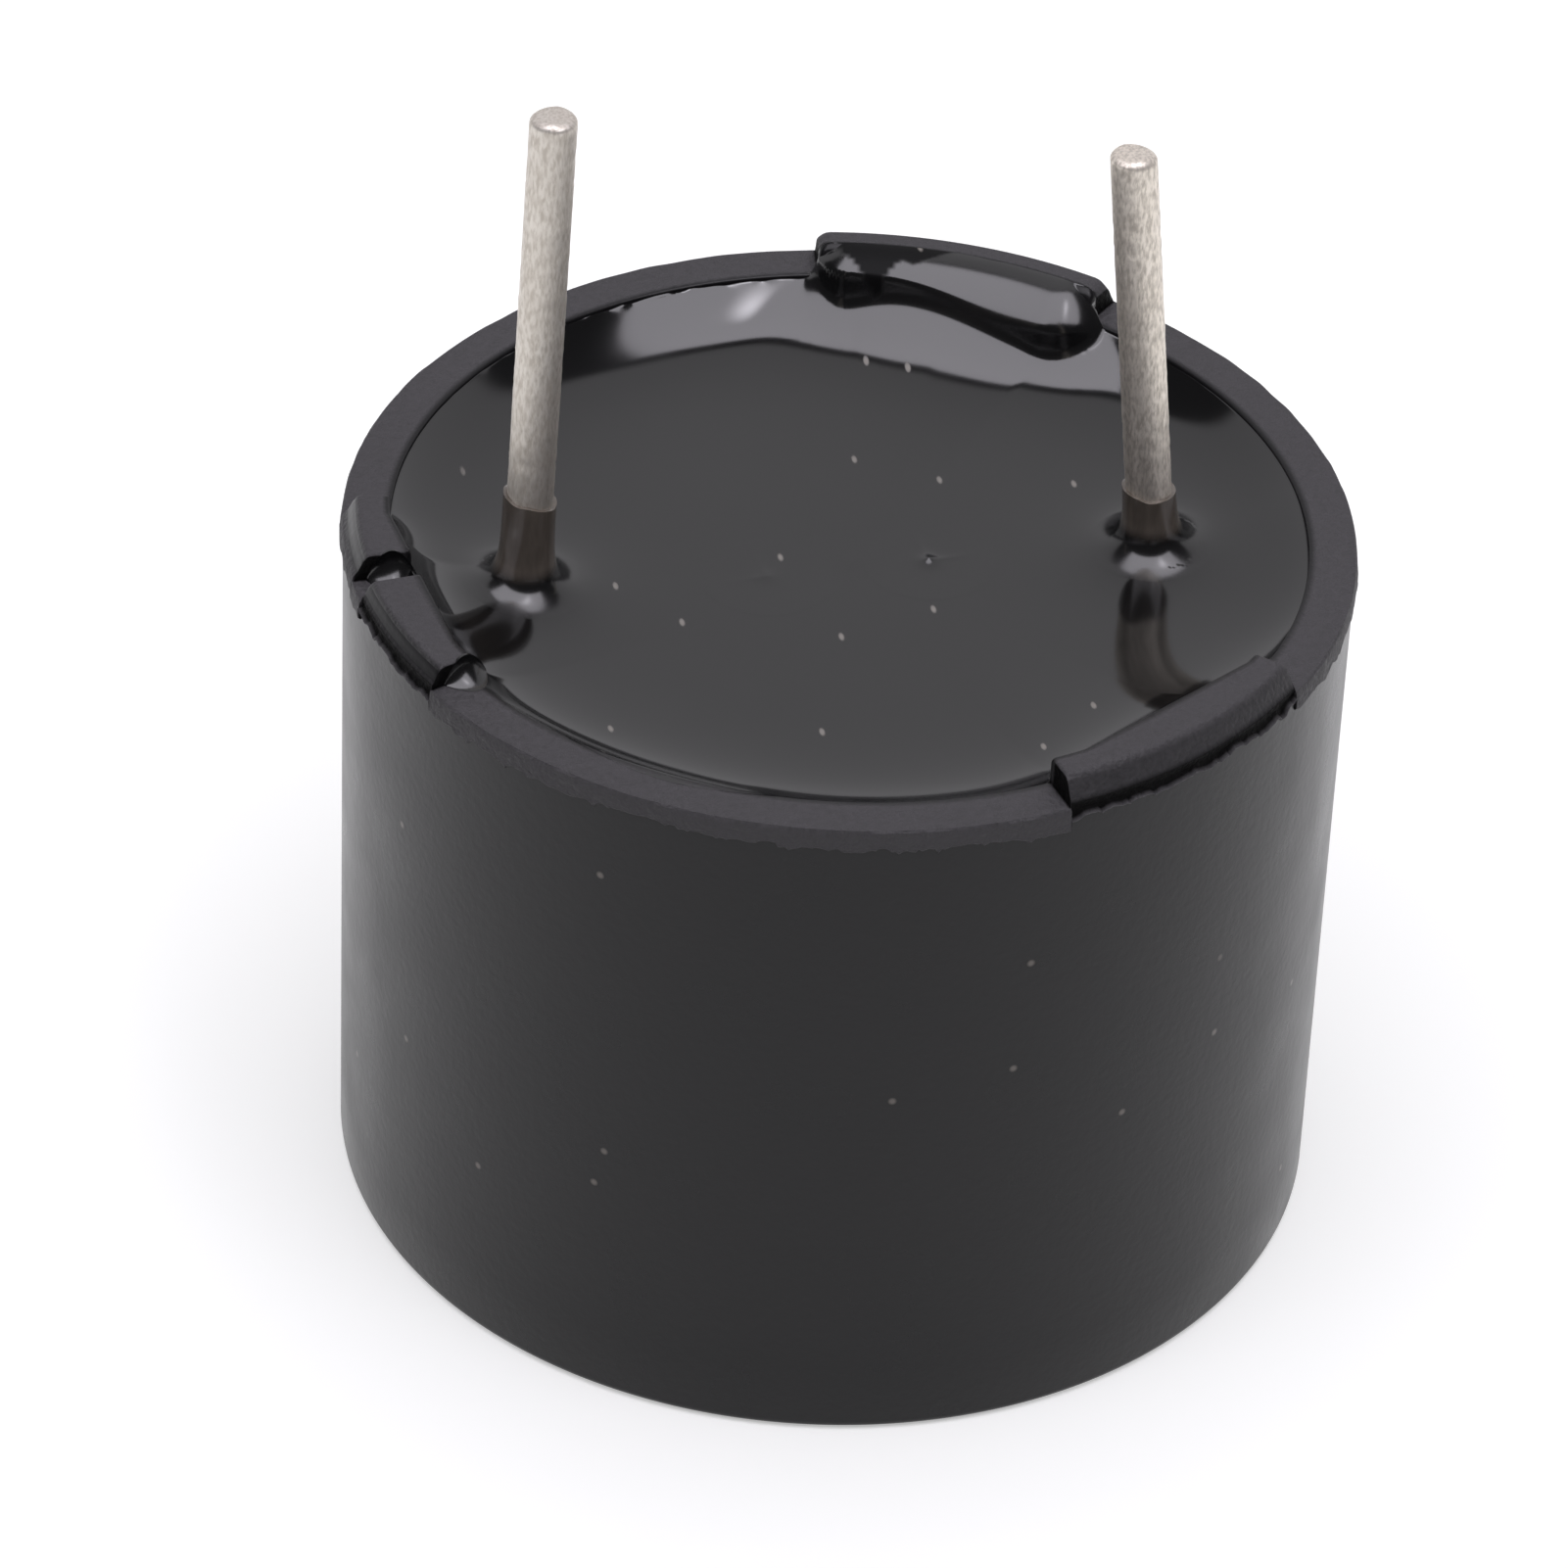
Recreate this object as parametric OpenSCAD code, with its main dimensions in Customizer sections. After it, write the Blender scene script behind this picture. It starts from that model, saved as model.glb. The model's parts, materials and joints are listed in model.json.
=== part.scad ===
// Round potted buzzer with two wire leads, standing on its sound face with the leads up.
// Millimetres. Z = 0 is the sound face, Z is the axis of the case, and X runs through both leads.

/* [Case] */
// Outside diameter of the case
case_d = 12; // [11:0.1:14]
// Height of the case from the sound face to the rim
case_h = 8.85; // [8.4:0.05:11]
// Wall thickness round the rim
rim_wall = 0.6; // [0.45:0.05:0.8]
// Thickness of the wall that carries the sound hole
face_wall = 0.9; // [0.6:0.05:1.2]
// Diameter of the sound hole
sound_hole_d = 2; // [1:0.1:3]
// Depth of the sound chamber in front of the plate
chamber_h = 1.4; // [1:0.1:1.8]
// Width of the ledge that the circuit board rests on
board_ledge = 0.45; // [0.3:0.05:0.6]
// Width of the ledge that the piezo plate rests on
plate_ledge = 0.7; // [0.5:0.05:0.9]
// Radius on the outer edge of the sound face
edge_r = 0.1; // [0.05:0.05:0.4]

/* [Stand-off lugs] */
// Height of a lug above the rim
lug_h = 0.35; // [0.2:0.05:0.6]
// Angle that one lug spans round the rim
lug_span = 36; // [20:1:60]
// Angle of the first lug from the line through the leads
lug_turn = 66; // [60:1:80]
// Angle from the first lug to each of the other two
lug_spread = 124; // [110:1:135]
// How far the outer face of a lug leans in
lug_lean = 0.15; // [0.05:0.01:0.3]

/* [Leads] */
// Distance between the leads where they leave the resin
lead_pitch = 7.5; // [7:0.1:8.4]
// Offset of the middle of the leads from the axis of the case
lead_offset = -0.1; // [-0.2:0.05:0.2]
// Diameter of the lead wire
lead_d = 0.55; // [0.4:0.05:0.7]
// Reach of the positive lead above the lugs
long_lead_out = 5.55; // [4:0.05:8]
// Reach of the negative lead above the lugs
short_lead_out = 4.6; // [3:0.05:7]
// Lean of the positive lead towards the other
long_lead_lean = 2; // [0:0.1:5]
// Lean of the negative lead towards the other
short_lead_lean = 5.8; // [0:0.1:8]
// Rounding of the cut lead ends
lead_tip_r = 0.1; // [0.02:0.01:0.15]
// Length of lead that comes out under the board
lead_tail = 0.4; // [0.2:0.05:0.8]

/* [Resin] */
// Depth of the level resin under the rim
resin_dip = 0.65; // [0.4:0.05:1]
// Width over which the resin surface curves up to the wall
dish_reach = 1.7; // [1:0.1:2.2]
// Height to which the resin coats the positive lead
long_coat_h = 1.3; // [0.5:0.05:1.6]
// Height to which the resin coats the negative lead
short_coat_h = 0.9; // [0.4:0.05:1.2]
// Thickness of the resin coat on the leads
coat_t = 0.04; // [0.02:0.01:0.08]
// Thickness of the resin skin over the tall parts on the board
skin_t = 0.06; // [0.04:0.01:0.12]

/* [Circuit board] */
// Thickness of the board
board_t = 0.8; // [0.5:0.05:1]
// Clearance between the board and the wall of the case
board_gap = 0.1; // [0.05:0.05:0.2]
// Thickness of the copper pads
pad_t = 0.05; // [0.03:0.01:0.1]
// Width of the copper ring round a hole
pad_ring = 0.3; // [0.2:0.05:0.35]
// Clearance round a lead or a wire in its hole
hole_gap = 0.08; // [0.05:0.01:0.15]
// Height of the solder cone on a lead
solder_h = 0.55; // [0.3:0.05:0.8]

/* [Transistor] */
// Length of the transistor body
transistor_l = 2.9; // [2.6:0.1:3.1]
// Width of the transistor body
transistor_w = 1.3; // [1.1:0.05:1.4]
// Height of the transistor above the board
transistor_h = 1.1; // [0.9:0.05:1.2]
// Width of the transistor over its legs
transistor_reach = 2.4; // [2.2:0.05:2.6]
// Distance between the two legs on one side
leg_pitch = 1.9; // [1.7:0.05:2]
// Width of a leg
leg_w = 0.42; // [0.3:0.02:0.5]
// Thickness of a leg
leg_t = 0.12; // [0.08:0.01:0.16]

/* [Chip parts] */
// Length of the choke
choke_l = 2; // [1.8:0.1:2.2]
// Width of the choke
choke_w = 1.25; // [1:0.05:1.3]
// Height of the choke
choke_h = 1.05; // [0.8:0.05:1.15]
// Length of a resistor
resistor_l = 1.6; // [1.4:0.05:1.7]
// Width of a resistor
resistor_w = 0.8; // [0.6:0.05:0.9]
// Height of a resistor
resistor_h = 0.45; // [0.3:0.05:0.6]
// Length of the metal ends of a chip part
cap_l = 0.35; // [0.2:0.05:0.45]
// Thickness of the metal on those ends
cap_t = 0.05; // [0.03:0.01:0.08]

/* [Piezo element] */
// Thickness of the brass plate
plate_t = 0.15; // [0.1:0.01:0.2]
// Clearance between the plate and the wall of the case
plate_gap = 0.1; // [0.05:0.05:0.2]
// Width of bare brass outside the ceramic
plate_rim = 1.25; // [1.2:0.05:1.5]
// Thickness of the ceramic disc
ceramic_t = 0.15; // [0.1:0.01:0.25]
// Width of bare ceramic outside the silver
silver_margin = 0.2; // [0.1:0.05:0.3]
// Thickness of the silver
silver_t = 0.05; // [0.03:0.01:0.08]
// Length of the feedback tongue
tongue_l = 1.7; // [1.4:0.05:2]
// Width of the feedback tongue
tongue_w = 1.1; // [0.9:0.05:1.3]
// Gap in the silver round the tongue
tongue_gap = 0.25; // [0.15:0.05:0.35]
// Width of the adhesive on the plate
glue_w = 0.45; // [0.3:0.05:0.5]
// Height of the adhesive above the plate
glue_h = 0.4; // [0.2:0.05:0.6]

/* [Wires] */
// Diameter of the fine wires
wire_d = 0.22; // [0.16:0.02:0.26]
// Distance of the wire holes in the board from the axis
wire_hole_r = 3.55; // [3.3:0.05:3.7]
// Distance of the drive wire's solder dot from the axis
drive_dot_r = 1.6; // [1.2:0.1:2]
// Radius of a solder dot on a wire
dot_r = 0.26; // [0.22:0.01:0.28]
// Height of a solder dot
dot_h = 0.24; // [0.18:0.02:0.32]
// Slack of the wires sideways
wire_bow = 0.45; // [0.2:0.05:0.6]

/* [Hidden] */
$fn = 96;

// Radii of the case, from the outside in
case_r = case_d / 2;
rim_r = case_r - rim_wall;
bore_r = rim_r - board_ledge;
chamber_r = bore_r - plate_ledge;
seat_z = case_h + lug_h;
// Upright foot of a lug's outer face, and the reach past the rim of the cuts that leave the lugs standing
lug_foot = 0.05;
gap_reach = 1;
// Gaps between the lugs: the angle at which each starts, and the angle that it spans
LUG_GAPS = [
    [lug_turn + lug_span / 2, lug_spread - lug_span],
    [lug_turn + lug_spread + lug_span / 2, 360 - 2 * lug_spread - lug_span],
    [lug_turn - lug_spread + lug_span / 2, lug_spread - lug_span],
];

// Levels of the board, worked down from the resin that just covers the transistor
part_cover = 0.03;
resin_z = case_h - resin_dip;
board_top = resin_z - part_cover - transistor_h;
board_z = board_top - board_t;
board_r = rim_r - board_gap;
pad_top = board_top + pad_t;

// The resin wets the wall to just under the rim, and the lugs to just under their tops
rim_dry = 0.05;
lug_dry = 0.06;
dish_decay = 3;
dish_steps = 12;
dish_power = 1.5;
lug_wet_w = 0.3;
lug_wet_steps = 5;
lug_wet_power = 2;
coat_spread = 0.42;
coat_decay = 0.17;
coat_root = 0.2;
coat_steps = 8;
coat_power = 2;
skin_margin = 0.05;
skin_slope_h = 0.3;

// Levels and radii of the piezo element, worked up from its ledge
plate_z = face_wall + chamber_h;
plate_top = plate_z + plate_t;
plate_r = bore_r - plate_gap;
ceramic_r = plate_r - plate_rim;
ceramic_top = plate_top + ceramic_t;
silver_r = ceramic_r - silver_margin;
silver_top = ceramic_top + silver_t;
tongue_end_r = tongue_w / 2;
tongue_centre = silver_r - tongue_l + tongue_end_r;
glue_in_r = plate_r - glue_w;
glue_steps = 8;

// Leads: upright through the board and the resin, then bent just above it, where the wire swells a little
lead_r = lead_d / 2;
lead_hole_r = lead_r + hole_gap;
bend_lift = 0.1;
bend_z = resin_z + bend_lift;
bend_swell = 0.05;
long_lead_x = lead_offset - lead_pitch / 2;
short_lead_x = lead_offset + lead_pitch / 2;
LEAD_XS = [long_lead_x, short_lead_x];
solder_lip = 0.06;
solder_inset = 0.05;

// Parts on the board: centre, and the turn of the long side from X
transistor_at = [-1.35, 1.4];
choke_at = [1.25, 1.18];
bias_resistor_at = [-1.5, -1.75];
feedback_resistor_at = [1.5, -1.2];
upright_turn = 90;
body_lift = 0.05;
body_draft = 0.1;
leg_rise = (transistor_h - pad_t) / 2;
leg_foot = 0.32;
foot_pad_margin = 0.08;
chip_pad_out = 0.15;

// Wires: direction of each one's plane, and where it meets the element and the board
wire_r = wire_d / 2;
wire_sides = 8;
wire_steps = 14;
wire_hole = wire_r + hole_gap;
wire_stub = 0.1;
dot_floor = 0.05;
drive_turn = -90;
feedback_turn = 90;
plate_turn = -50;
plate_dot_r = (ceramic_r + glue_in_r) / 2;
WIRES = [
    [drive_turn, drive_dot_r, silver_top],
    [feedback_turn, tongue_centre, silver_top],
    [plate_turn, plate_dot_r, plate_top],
];

// Height of the resin surface at radius r: an exponential rise over the last dish_reach before the wall
function dish_fall(d) = exp(-dish_decay * d / dish_reach);
function dish_z(r) = resin_z
    + (resin_dip - rim_dry) * (dish_fall(rim_r - r) - dish_fall(dish_reach)) / (1 - dish_fall(dish_reach));

// Radius of the resin round a lead at height h above the resin level
function coat_r(h) = lead_r + coat_t + coat_spread * exp(-h / coat_decay);

module at_part(place, turn = 0) {
    translate([place[0], place[1], pad_top]) rotate(turn) children();
}

// Frame at the bend of a lead, with Z along the leaning wire
module at_bend(x, lean) {
    translate([x, 0, bend_z]) rotate([0, lean, 0]) children();
}

// The gaps between the lugs, from the height floor_z up
module lug_gaps(floor_z) {
    for (gap = LUG_GAPS) rotate(gap[0])
        rotate_extrude(angle = gap[1]) translate([rim_r - gap_reach, floor_z])
            square([rim_wall + 2 * gap_reach, seat_z + gap_reach - floor_z]);
}

module rounded_corner(r) {
    difference() {
        square(2 * r, center = true);
        translate([-r, r]) circle(r);
    }
}

// Block whose sides lean in: full size between the heights low and high, smaller by draft at both ends
module drafted_block(l, w, bottom, low, high, top, draft) {
    intersection() {
        rotate([90, 0, 0]) linear_extrude(2 * w, center = true)
            drafted_side(l / 2, bottom, low, high, top, draft);
        rotate([90, 0, 90]) linear_extrude(2 * l, center = true)
            drafted_side(w / 2, bottom, low, high, top, draft);
    }
}

module drafted_side(half, bottom, low, high, top, draft) {
    polygon([
        [-half + draft, bottom], [half - draft, bottom], [half, low], [half, high],
        [half - draft, top], [-half + draft, top], [-half, high], [-half, low],
    ]);
}

// Moulded cup: sound hole, chamber, two ledges inside, and lugs left standing on the rim

module case_section() {
    difference() {
        polygon([
            [sound_hole_d / 2, 0], [case_r, 0], [case_r, case_h + lug_foot],
            [case_r - lug_lean, seat_z], [rim_r, seat_z], [rim_r, board_z],
            [bore_r, board_z], [bore_r, plate_z], [chamber_r, plate_z],
            [chamber_r, face_wall], [sound_hole_d / 2, face_wall],
        ]);
        translate([case_r, 0]) rounded_corner(edge_r);
    }
}

module case() {
    color("#2b2b2d") difference() {
        rotate_extrude() case_section();
        lug_gaps(case_h);
    }
}

// Resin that seals the open end, with the dish of its surface and its coats on lugs, leads and parts

module resin_body() {
    rotate_extrude() polygon([
        [board_r, board_z], [rim_r, board_z],
        for (i = [0 : dish_steps])
            let (r = rim_r - dish_reach * pow(i / dish_steps, dish_power)) [r, dish_z(r)],
        [0, resin_z], [0, board_top], [board_r, board_top],
    ]);
}

module resin_on_lugs() {
    difference() {
        rotate_extrude() polygon([
            [rim_r - lug_wet_w, resin_z], [rim_r, resin_z],
            for (i = [0 : lug_wet_steps])
                let (t = i / lug_wet_steps, r = rim_r - lug_wet_w * t)
                    [r, dish_z(r) + (lug_h + rim_dry - lug_dry) * pow(1 - t, lug_wet_power)],
        ]);
        lug_gaps(board_top);
    }
}

module resin_on_lead(x, lean, coat_h) {
    at_bend(x, lean) translate([0, 0, -bend_lift / cos(lean)]) rotate_extrude() polygon([
        [0, -coat_root], [coat_r(0), -coat_root],
        for (i = [0 : coat_steps]) let (h = coat_h * pow(i / coat_steps, coat_power)) [coat_r(h), h],
        [0, coat_h],
    ]);
}

module resin_skin(place, l, w, h) {
    top = h + skin_t;
    at_part(place, upright_turn) drafted_block(
        l + 2 * (skin_slope_h + skin_margin), w + 2 * (skin_slope_h + skin_margin),
        top - 2 * skin_slope_h, top - skin_slope_h, top - skin_slope_h, top, skin_slope_h);
}

module potting_resin() {
    color("#1c1c1f") difference() {
        union() {
            resin_body();
            resin_on_lugs();
            resin_on_lead(long_lead_x, long_lead_lean, long_coat_h);
            resin_on_lead(short_lead_x, -short_lead_lean, short_coat_h);
            resin_skin(transistor_at, transistor_l, transistor_w, transistor_h - pad_t);
            resin_skin(choke_at, choke_l, choke_w, choke_h);
        }
        positive_lead();
        negative_lead();
        for (drop = [0, pad_t / 2]) translate([0, 0, -drop]) pad_fields();
        lead_solder();
        transistor_body();
        transistor_legs();
        for (chip = [[choke_at, upright_turn, choke_l, choke_w, choke_h],
                     [bias_resistor_at, 0, resistor_l, resistor_w, resistor_h],
                     [feedback_resistor_at, 0, resistor_l, resistor_w, resistor_h]])
            at_part(chip[0], chip[1]) chip_block(chip[2], chip[3], chip[4]);
        for (wire = WIRES) rotate(wire[0]) translate([wire_hole_r, 0, pad_top]) solder_dome(dot_r, dot_h);
    }
}

// Tinned wire leads, upright in the board and the resin, each leaning a little towards the other above

module lead(x, lean, out) {
    length = (seat_z + out - bend_z) / cos(lean);
    foot_z = board_z - lead_tail;
    translate([x, 0, foot_z]) cylinder(r = lead_r, h = bend_z - foot_z);
    at_bend(x, lean) {
        sphere(lead_r + bend_swell);
        rotate_extrude() difference() {
            square([lead_r, length]);
            translate([lead_r, length]) mirror([0, 1]) rounded_corner(lead_tip_r);
        }
    }
}

module positive_lead() {
    color("#b9b6ae") lead(long_lead_x, long_lead_lean, long_lead_out);
}

module negative_lead() {
    color("#b9b6ae") lead(short_lead_x, -short_lead_lean, short_lead_out);
}

// Round board on its ledge, with the copper side up under the resin

module circuit_board() {
    color("#b98f56") difference() {
        translate([0, 0, board_z]) cylinder(r = board_r, h = board_t);
        board_holes();
    }
}

module board_holes() {
    through = board_t + pad_t;
    translate([0, 0, board_z]) {
        for (x = LEAD_XS) translate([x, 0, -through]) cylinder(r = lead_hole_r, h = 3 * through);
        for (wire = WIRES)
            rotate(wire[0]) translate([wire_hole_r, 0, -through]) cylinder(r = wire_hole, h = 3 * through);
    }
}

module ring_pad(hole_r) {
    cylinder(r = hole_r + pad_ring, h = pad_t);
}

module flat_pad(l, w) {
    translate([-l / 2, -w / 2, 0]) cube([l, w, pad_t]);
}

module chip_pads(l, w) {
    pad_l = cap_l + chip_pad_out;
    pad_x = l / 2 + chip_pad_out - pad_l / 2;
    for (side = [-1, 1]) translate([side * pad_x, 0, -pad_t]) flat_pad(pad_l, w);
}

module pad_fields() {
    foot_l = leg_foot + 2 * foot_pad_margin;
    foot_x = transistor_reach / 2 - leg_foot / 2;
    translate([0, 0, board_top]) {
        for (x = LEAD_XS) translate([x, 0, 0]) ring_pad(lead_hole_r);
        for (wire = WIRES) rotate(wire[0]) translate([wire_hole_r, 0, 0]) ring_pad(wire_hole);
    }
    at_part(transistor_at) each_leg()
        translate([foot_x, 0, -pad_t]) flat_pad(foot_l, leg_w + 2 * foot_pad_margin);
    at_part(choke_at, upright_turn) chip_pads(choke_l, choke_w);
    at_part(bias_resistor_at) chip_pads(resistor_l, resistor_w);
    at_part(feedback_resistor_at) chip_pads(resistor_l, resistor_w);
}

module copper_pads() {
    color("#c98b52") difference() {
        pad_fields();
        board_holes();
    }
}

module lead_solder() {
    color("#c3c4c2") difference() {
        for (x = LEAD_XS) translate([x, 0, pad_top])
            cylinder(r1 = lead_hole_r + pad_ring - solder_inset, r2 = lead_r + solder_lip, h = solder_h);
        positive_lead();
        negative_lead();
    }
}

// Transistor: drafted body, two legs on one side and one on the other

module transistor_body() {
    color("#26262a") at_part(transistor_at, upright_turn) drafted_block(
        transistor_l, transistor_w,
        body_lift, leg_rise - leg_t, leg_rise, transistor_h - pad_t, body_draft);
}

module each_leg() {
    for (leg = [[0, leg_pitch / 2], [0, -leg_pitch / 2], [180, 0]])
        translate([0, leg[1], 0]) rotate(leg[0]) children();
}

module leg() {
    root = transistor_w / 2;
    tip = transistor_reach / 2;
    knee = tip - leg_foot;
    rotate([90, 0, 0]) linear_extrude(leg_w, center = true) polygon([
        [tip, 0], [tip, leg_t], [knee + leg_t, leg_t], [knee, leg_rise], [root, leg_rise],
        [root, leg_rise - leg_t], [knee - leg_t, leg_rise - leg_t], [knee, 0],
    ]);
}

module transistor_legs() {
    color("#c9c9c6") at_part(transistor_at) each_leg() leg();
}

// Chip parts: a ceramic body whose ends are wrapped in metal

module chip_block(l, w, h) {
    translate([-l / 2, -w / 2, 0]) cube([l, w, h]);
}

module chip_body(l, w, h) {
    chip_block(l - 2 * cap_l, w, h);
    translate([0, 0, cap_t]) chip_block(l - 2 * cap_t, w - 2 * cap_t, h - 2 * cap_t);
}

module chip_caps(l, w, h) {
    difference() {
        chip_block(l, w, h);
        chip_body(l, w, h);
    }
}

module choke_body() {
    color("#3a3836") at_part(choke_at, upright_turn) chip_body(choke_l, choke_w, choke_h);
}

module choke_caps() {
    color("#c9c9c6") at_part(choke_at, upright_turn) chip_caps(choke_l, choke_w, choke_h);
}

module bias_resistor_body() {
    color("#2e3034") at_part(bias_resistor_at) chip_body(resistor_l, resistor_w, resistor_h);
}

module bias_resistor_caps() {
    color("#c9c9c6") at_part(bias_resistor_at) chip_caps(resistor_l, resistor_w, resistor_h);
}

module feedback_resistor_body() {
    color("#2e3034") at_part(feedback_resistor_at) chip_body(resistor_l, resistor_w, resistor_h);
}

module feedback_resistor_caps() {
    color("#c9c9c6") at_part(feedback_resistor_at) chip_caps(resistor_l, resistor_w, resistor_h);
}

// Piezo element: brass plate, ceramic disc, and silver in two fields, glued to its ledge

module piezo_plate() {
    color("#c9a24a") translate([0, 0, plate_z]) cylinder(r = plate_r, h = plate_t);
}

module piezo_ceramic() {
    color("#d8cfb8") translate([0, 0, plate_top]) cylinder(r = ceramic_r, h = ceramic_t);
}

module tongue(grow) {
    translate([0, tongue_centre]) {
        circle(tongue_end_r + grow);
        translate([-tongue_end_r - grow, 0]) square([tongue_w + 2 * grow, silver_r]);
    }
}

module drive_electrode() {
    color("#cfcfcb") translate([0, 0, ceramic_top]) linear_extrude(silver_t) difference() {
        circle(silver_r);
        tongue(tongue_gap);
    }
}

module feedback_electrode() {
    color("#cfcfcb") translate([0, 0, ceramic_top]) linear_extrude(silver_t) intersection() {
        circle(silver_r);
        tongue(0);
    }
}

// Adhesive fillet: fills the gap at the plate's edge and curves up the wall
module plate_adhesive() {
    width = bore_r - glue_in_r;
    color("#e6e3da") rotate_extrude() polygon([
        [glue_in_r, plate_top], [plate_r, plate_top], [plate_r, plate_z], [bore_r, plate_z],
        for (i = [0 : glue_steps - 1])
            let (turn = 90 * i / glue_steps)
                [bore_r - width * (1 - cos(turn)), plate_top + glue_h * (1 - sin(turn))],
    ]);
}

// Fine wires from the element to the board, each in its own upright plane

function bezier(a, b, c, d, t) =
    pow(1 - t, 3) * a + 3 * pow(1 - t, 2) * t * b + 3 * (1 - t) * t * t * c + t * t * t * d;

function wire_path(dot, base) = let (
        low = base + dot_floor,
        foot = base + dot_h + wire_stub,
        head = board_z - wire_stub,
        third = (head - foot) / 3)
    [
        [dot, low],
        for (i = [0 : wire_steps])
            bezier([dot, foot], [dot + wire_bow, foot + third],
                   [wire_hole_r - wire_bow, head - third], [wire_hole_r, head], i / wire_steps),
        [wire_hole_r, pad_top + dot_floor],
    ];

// Direction across the path at point i, level at both ends where the wire stands upright
function across(path, i) = (i < 2 || i > len(path) - 3) ? [1, 0]
    : let (step = path[i + 1] - path[i - 1]) [step[1], -step[0]] / norm(step);

module wire(spec) {
    path = wire_path(spec[1], spec[2]);
    last = len(path) - 1;
    points = [
        for (i = [0 : last]) for (k = [0 : wire_sides - 1])
            let (turn = 360 * k / wire_sides, side = across(path, i))
                [path[i][0] + wire_r * cos(turn) * side[0], wire_r * sin(turn),
                 path[i][1] + wire_r * cos(turn) * side[1]],
    ];
    skin = [
        for (i = [0 : last - 1]) for (k = [0 : wire_sides - 1])
            let (a = i * wire_sides + k, b = i * wire_sides + (k + 1) % wire_sides)
                [a, a + wire_sides, b + wire_sides, b],
    ];
    foot = [for (k = [0 : wire_sides - 1]) k];
    head = [for (k = [0 : wire_sides - 1]) (last + 1) * wire_sides - 1 - k];
    rotate(spec[0]) polyhedron(points, concat(skin, [foot, head]));
}

module drive_wire() {
    color("#b23a32") wire(WIRES[0]);
}

module feedback_wire() {
    color("#3b5fa8") wire(WIRES[1]);
}

module plate_wire() {
    color("#30302f") wire(WIRES[2]);
}

// Solder dots: domes on the element and on the board, each with its wire inside

module solder_dome(r, h) {
    ball_r = (r * r + h * h) / (2 * h);
    intersection() {
        translate([0, 0, h - ball_r]) sphere(ball_r);
        cylinder(r = 2 * r, h = 2 * h);
    }
}

module solder_dot() {
    difference() {
        solder_dome(dot_r, dot_h);
        translate([0, 0, dot_floor]) cylinder(r = wire_r, h = 2 * dot_h);
    }
}

module element_solder() {
    color("#c3c4c2") for (wire = WIRES) rotate(wire[0]) translate([wire[1], 0, wire[2]]) solder_dot();
}

module board_solder() {
    color("#c3c4c2") for (wire = WIRES) rotate(wire[0]) translate([wire_hole_r, 0, pad_top]) difference() {
        solder_dome(dot_r, dot_h);
        translate([0, 0, -dot_h]) cylinder(r = wire_r, h = dot_h + dot_floor);
    }
}

case();
potting_resin();
positive_lead();
negative_lead();
circuit_board();
copper_pads();
lead_solder();
transistor_body();
transistor_legs();
choke_body();
choke_caps();
bias_resistor_body();
bias_resistor_caps();
feedback_resistor_body();
feedback_resistor_caps();
piezo_plate();
piezo_ceramic();
drive_electrode();
feedback_electrode();
plate_adhesive();
drive_wire();
feedback_wire();
plate_wire();
element_solder();
board_solder();
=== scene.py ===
# %% [markdown]
# # A potted piezo buzzer
# The real part is a black moulded cup that stands on its sound face. Its open end is filled with black
# resin, and two tinned wires come out of the resin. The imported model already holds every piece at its
# real size, so this lesson only works on looks: it replaces the four pieces that show with finer
# surfaces, and gives every other piece a finish.

import json
import math

import bpy
import numpy as np
from mathutils import Matrix, Vector

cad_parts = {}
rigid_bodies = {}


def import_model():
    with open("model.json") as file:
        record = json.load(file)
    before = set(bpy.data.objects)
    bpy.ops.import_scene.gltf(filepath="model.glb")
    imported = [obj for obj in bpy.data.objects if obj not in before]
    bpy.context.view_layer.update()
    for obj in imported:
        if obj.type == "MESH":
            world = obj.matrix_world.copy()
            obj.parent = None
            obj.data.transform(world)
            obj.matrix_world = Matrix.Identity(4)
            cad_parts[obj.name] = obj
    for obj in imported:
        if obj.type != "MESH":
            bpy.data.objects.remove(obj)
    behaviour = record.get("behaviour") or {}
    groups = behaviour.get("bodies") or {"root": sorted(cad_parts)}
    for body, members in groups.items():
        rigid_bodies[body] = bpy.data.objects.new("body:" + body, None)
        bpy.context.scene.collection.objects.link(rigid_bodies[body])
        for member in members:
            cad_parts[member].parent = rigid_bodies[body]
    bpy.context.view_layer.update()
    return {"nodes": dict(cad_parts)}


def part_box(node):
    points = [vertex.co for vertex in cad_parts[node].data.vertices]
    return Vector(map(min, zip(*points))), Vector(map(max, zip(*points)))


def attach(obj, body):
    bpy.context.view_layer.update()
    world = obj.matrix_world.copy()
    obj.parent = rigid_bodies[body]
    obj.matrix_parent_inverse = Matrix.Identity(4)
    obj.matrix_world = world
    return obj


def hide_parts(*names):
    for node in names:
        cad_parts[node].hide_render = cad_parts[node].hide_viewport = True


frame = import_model()
MM = 0.001
scene = bpy.context.scene
scene.view_settings.view_transform = "Standard"

# %% [markdown]
# ## The camera
# A photo of a small part is taken from about ten centimetres away, with a long lens. The camera here
# is set by where it stands round the part, how far it is, and how it is rolled. It could be aimed by a
# constraint, but a product of plain rotations says the same thing and stays put.

# %% Camera
frame_px = 1601
focal_px = 8150
centre_px = (852.6, 844.6)
view_azimuth = -11.3
view_elevation = 36.95
view_distance = 96.5
view_roll = 2.85
aim_z = 4.415
sensor_mm = 36


def turned(degrees, axis):
    """A rotation about one axis, as a 4x4 matrix."""
    return Matrix.Rotation(math.radians(degrees), 4, axis)


def off_centre(pixel):
    """The angle in degrees from the middle of the picture to a column or row of pixels."""
    return math.degrees(math.atan((pixel - frame_px / 2) / focal_px))


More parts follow.
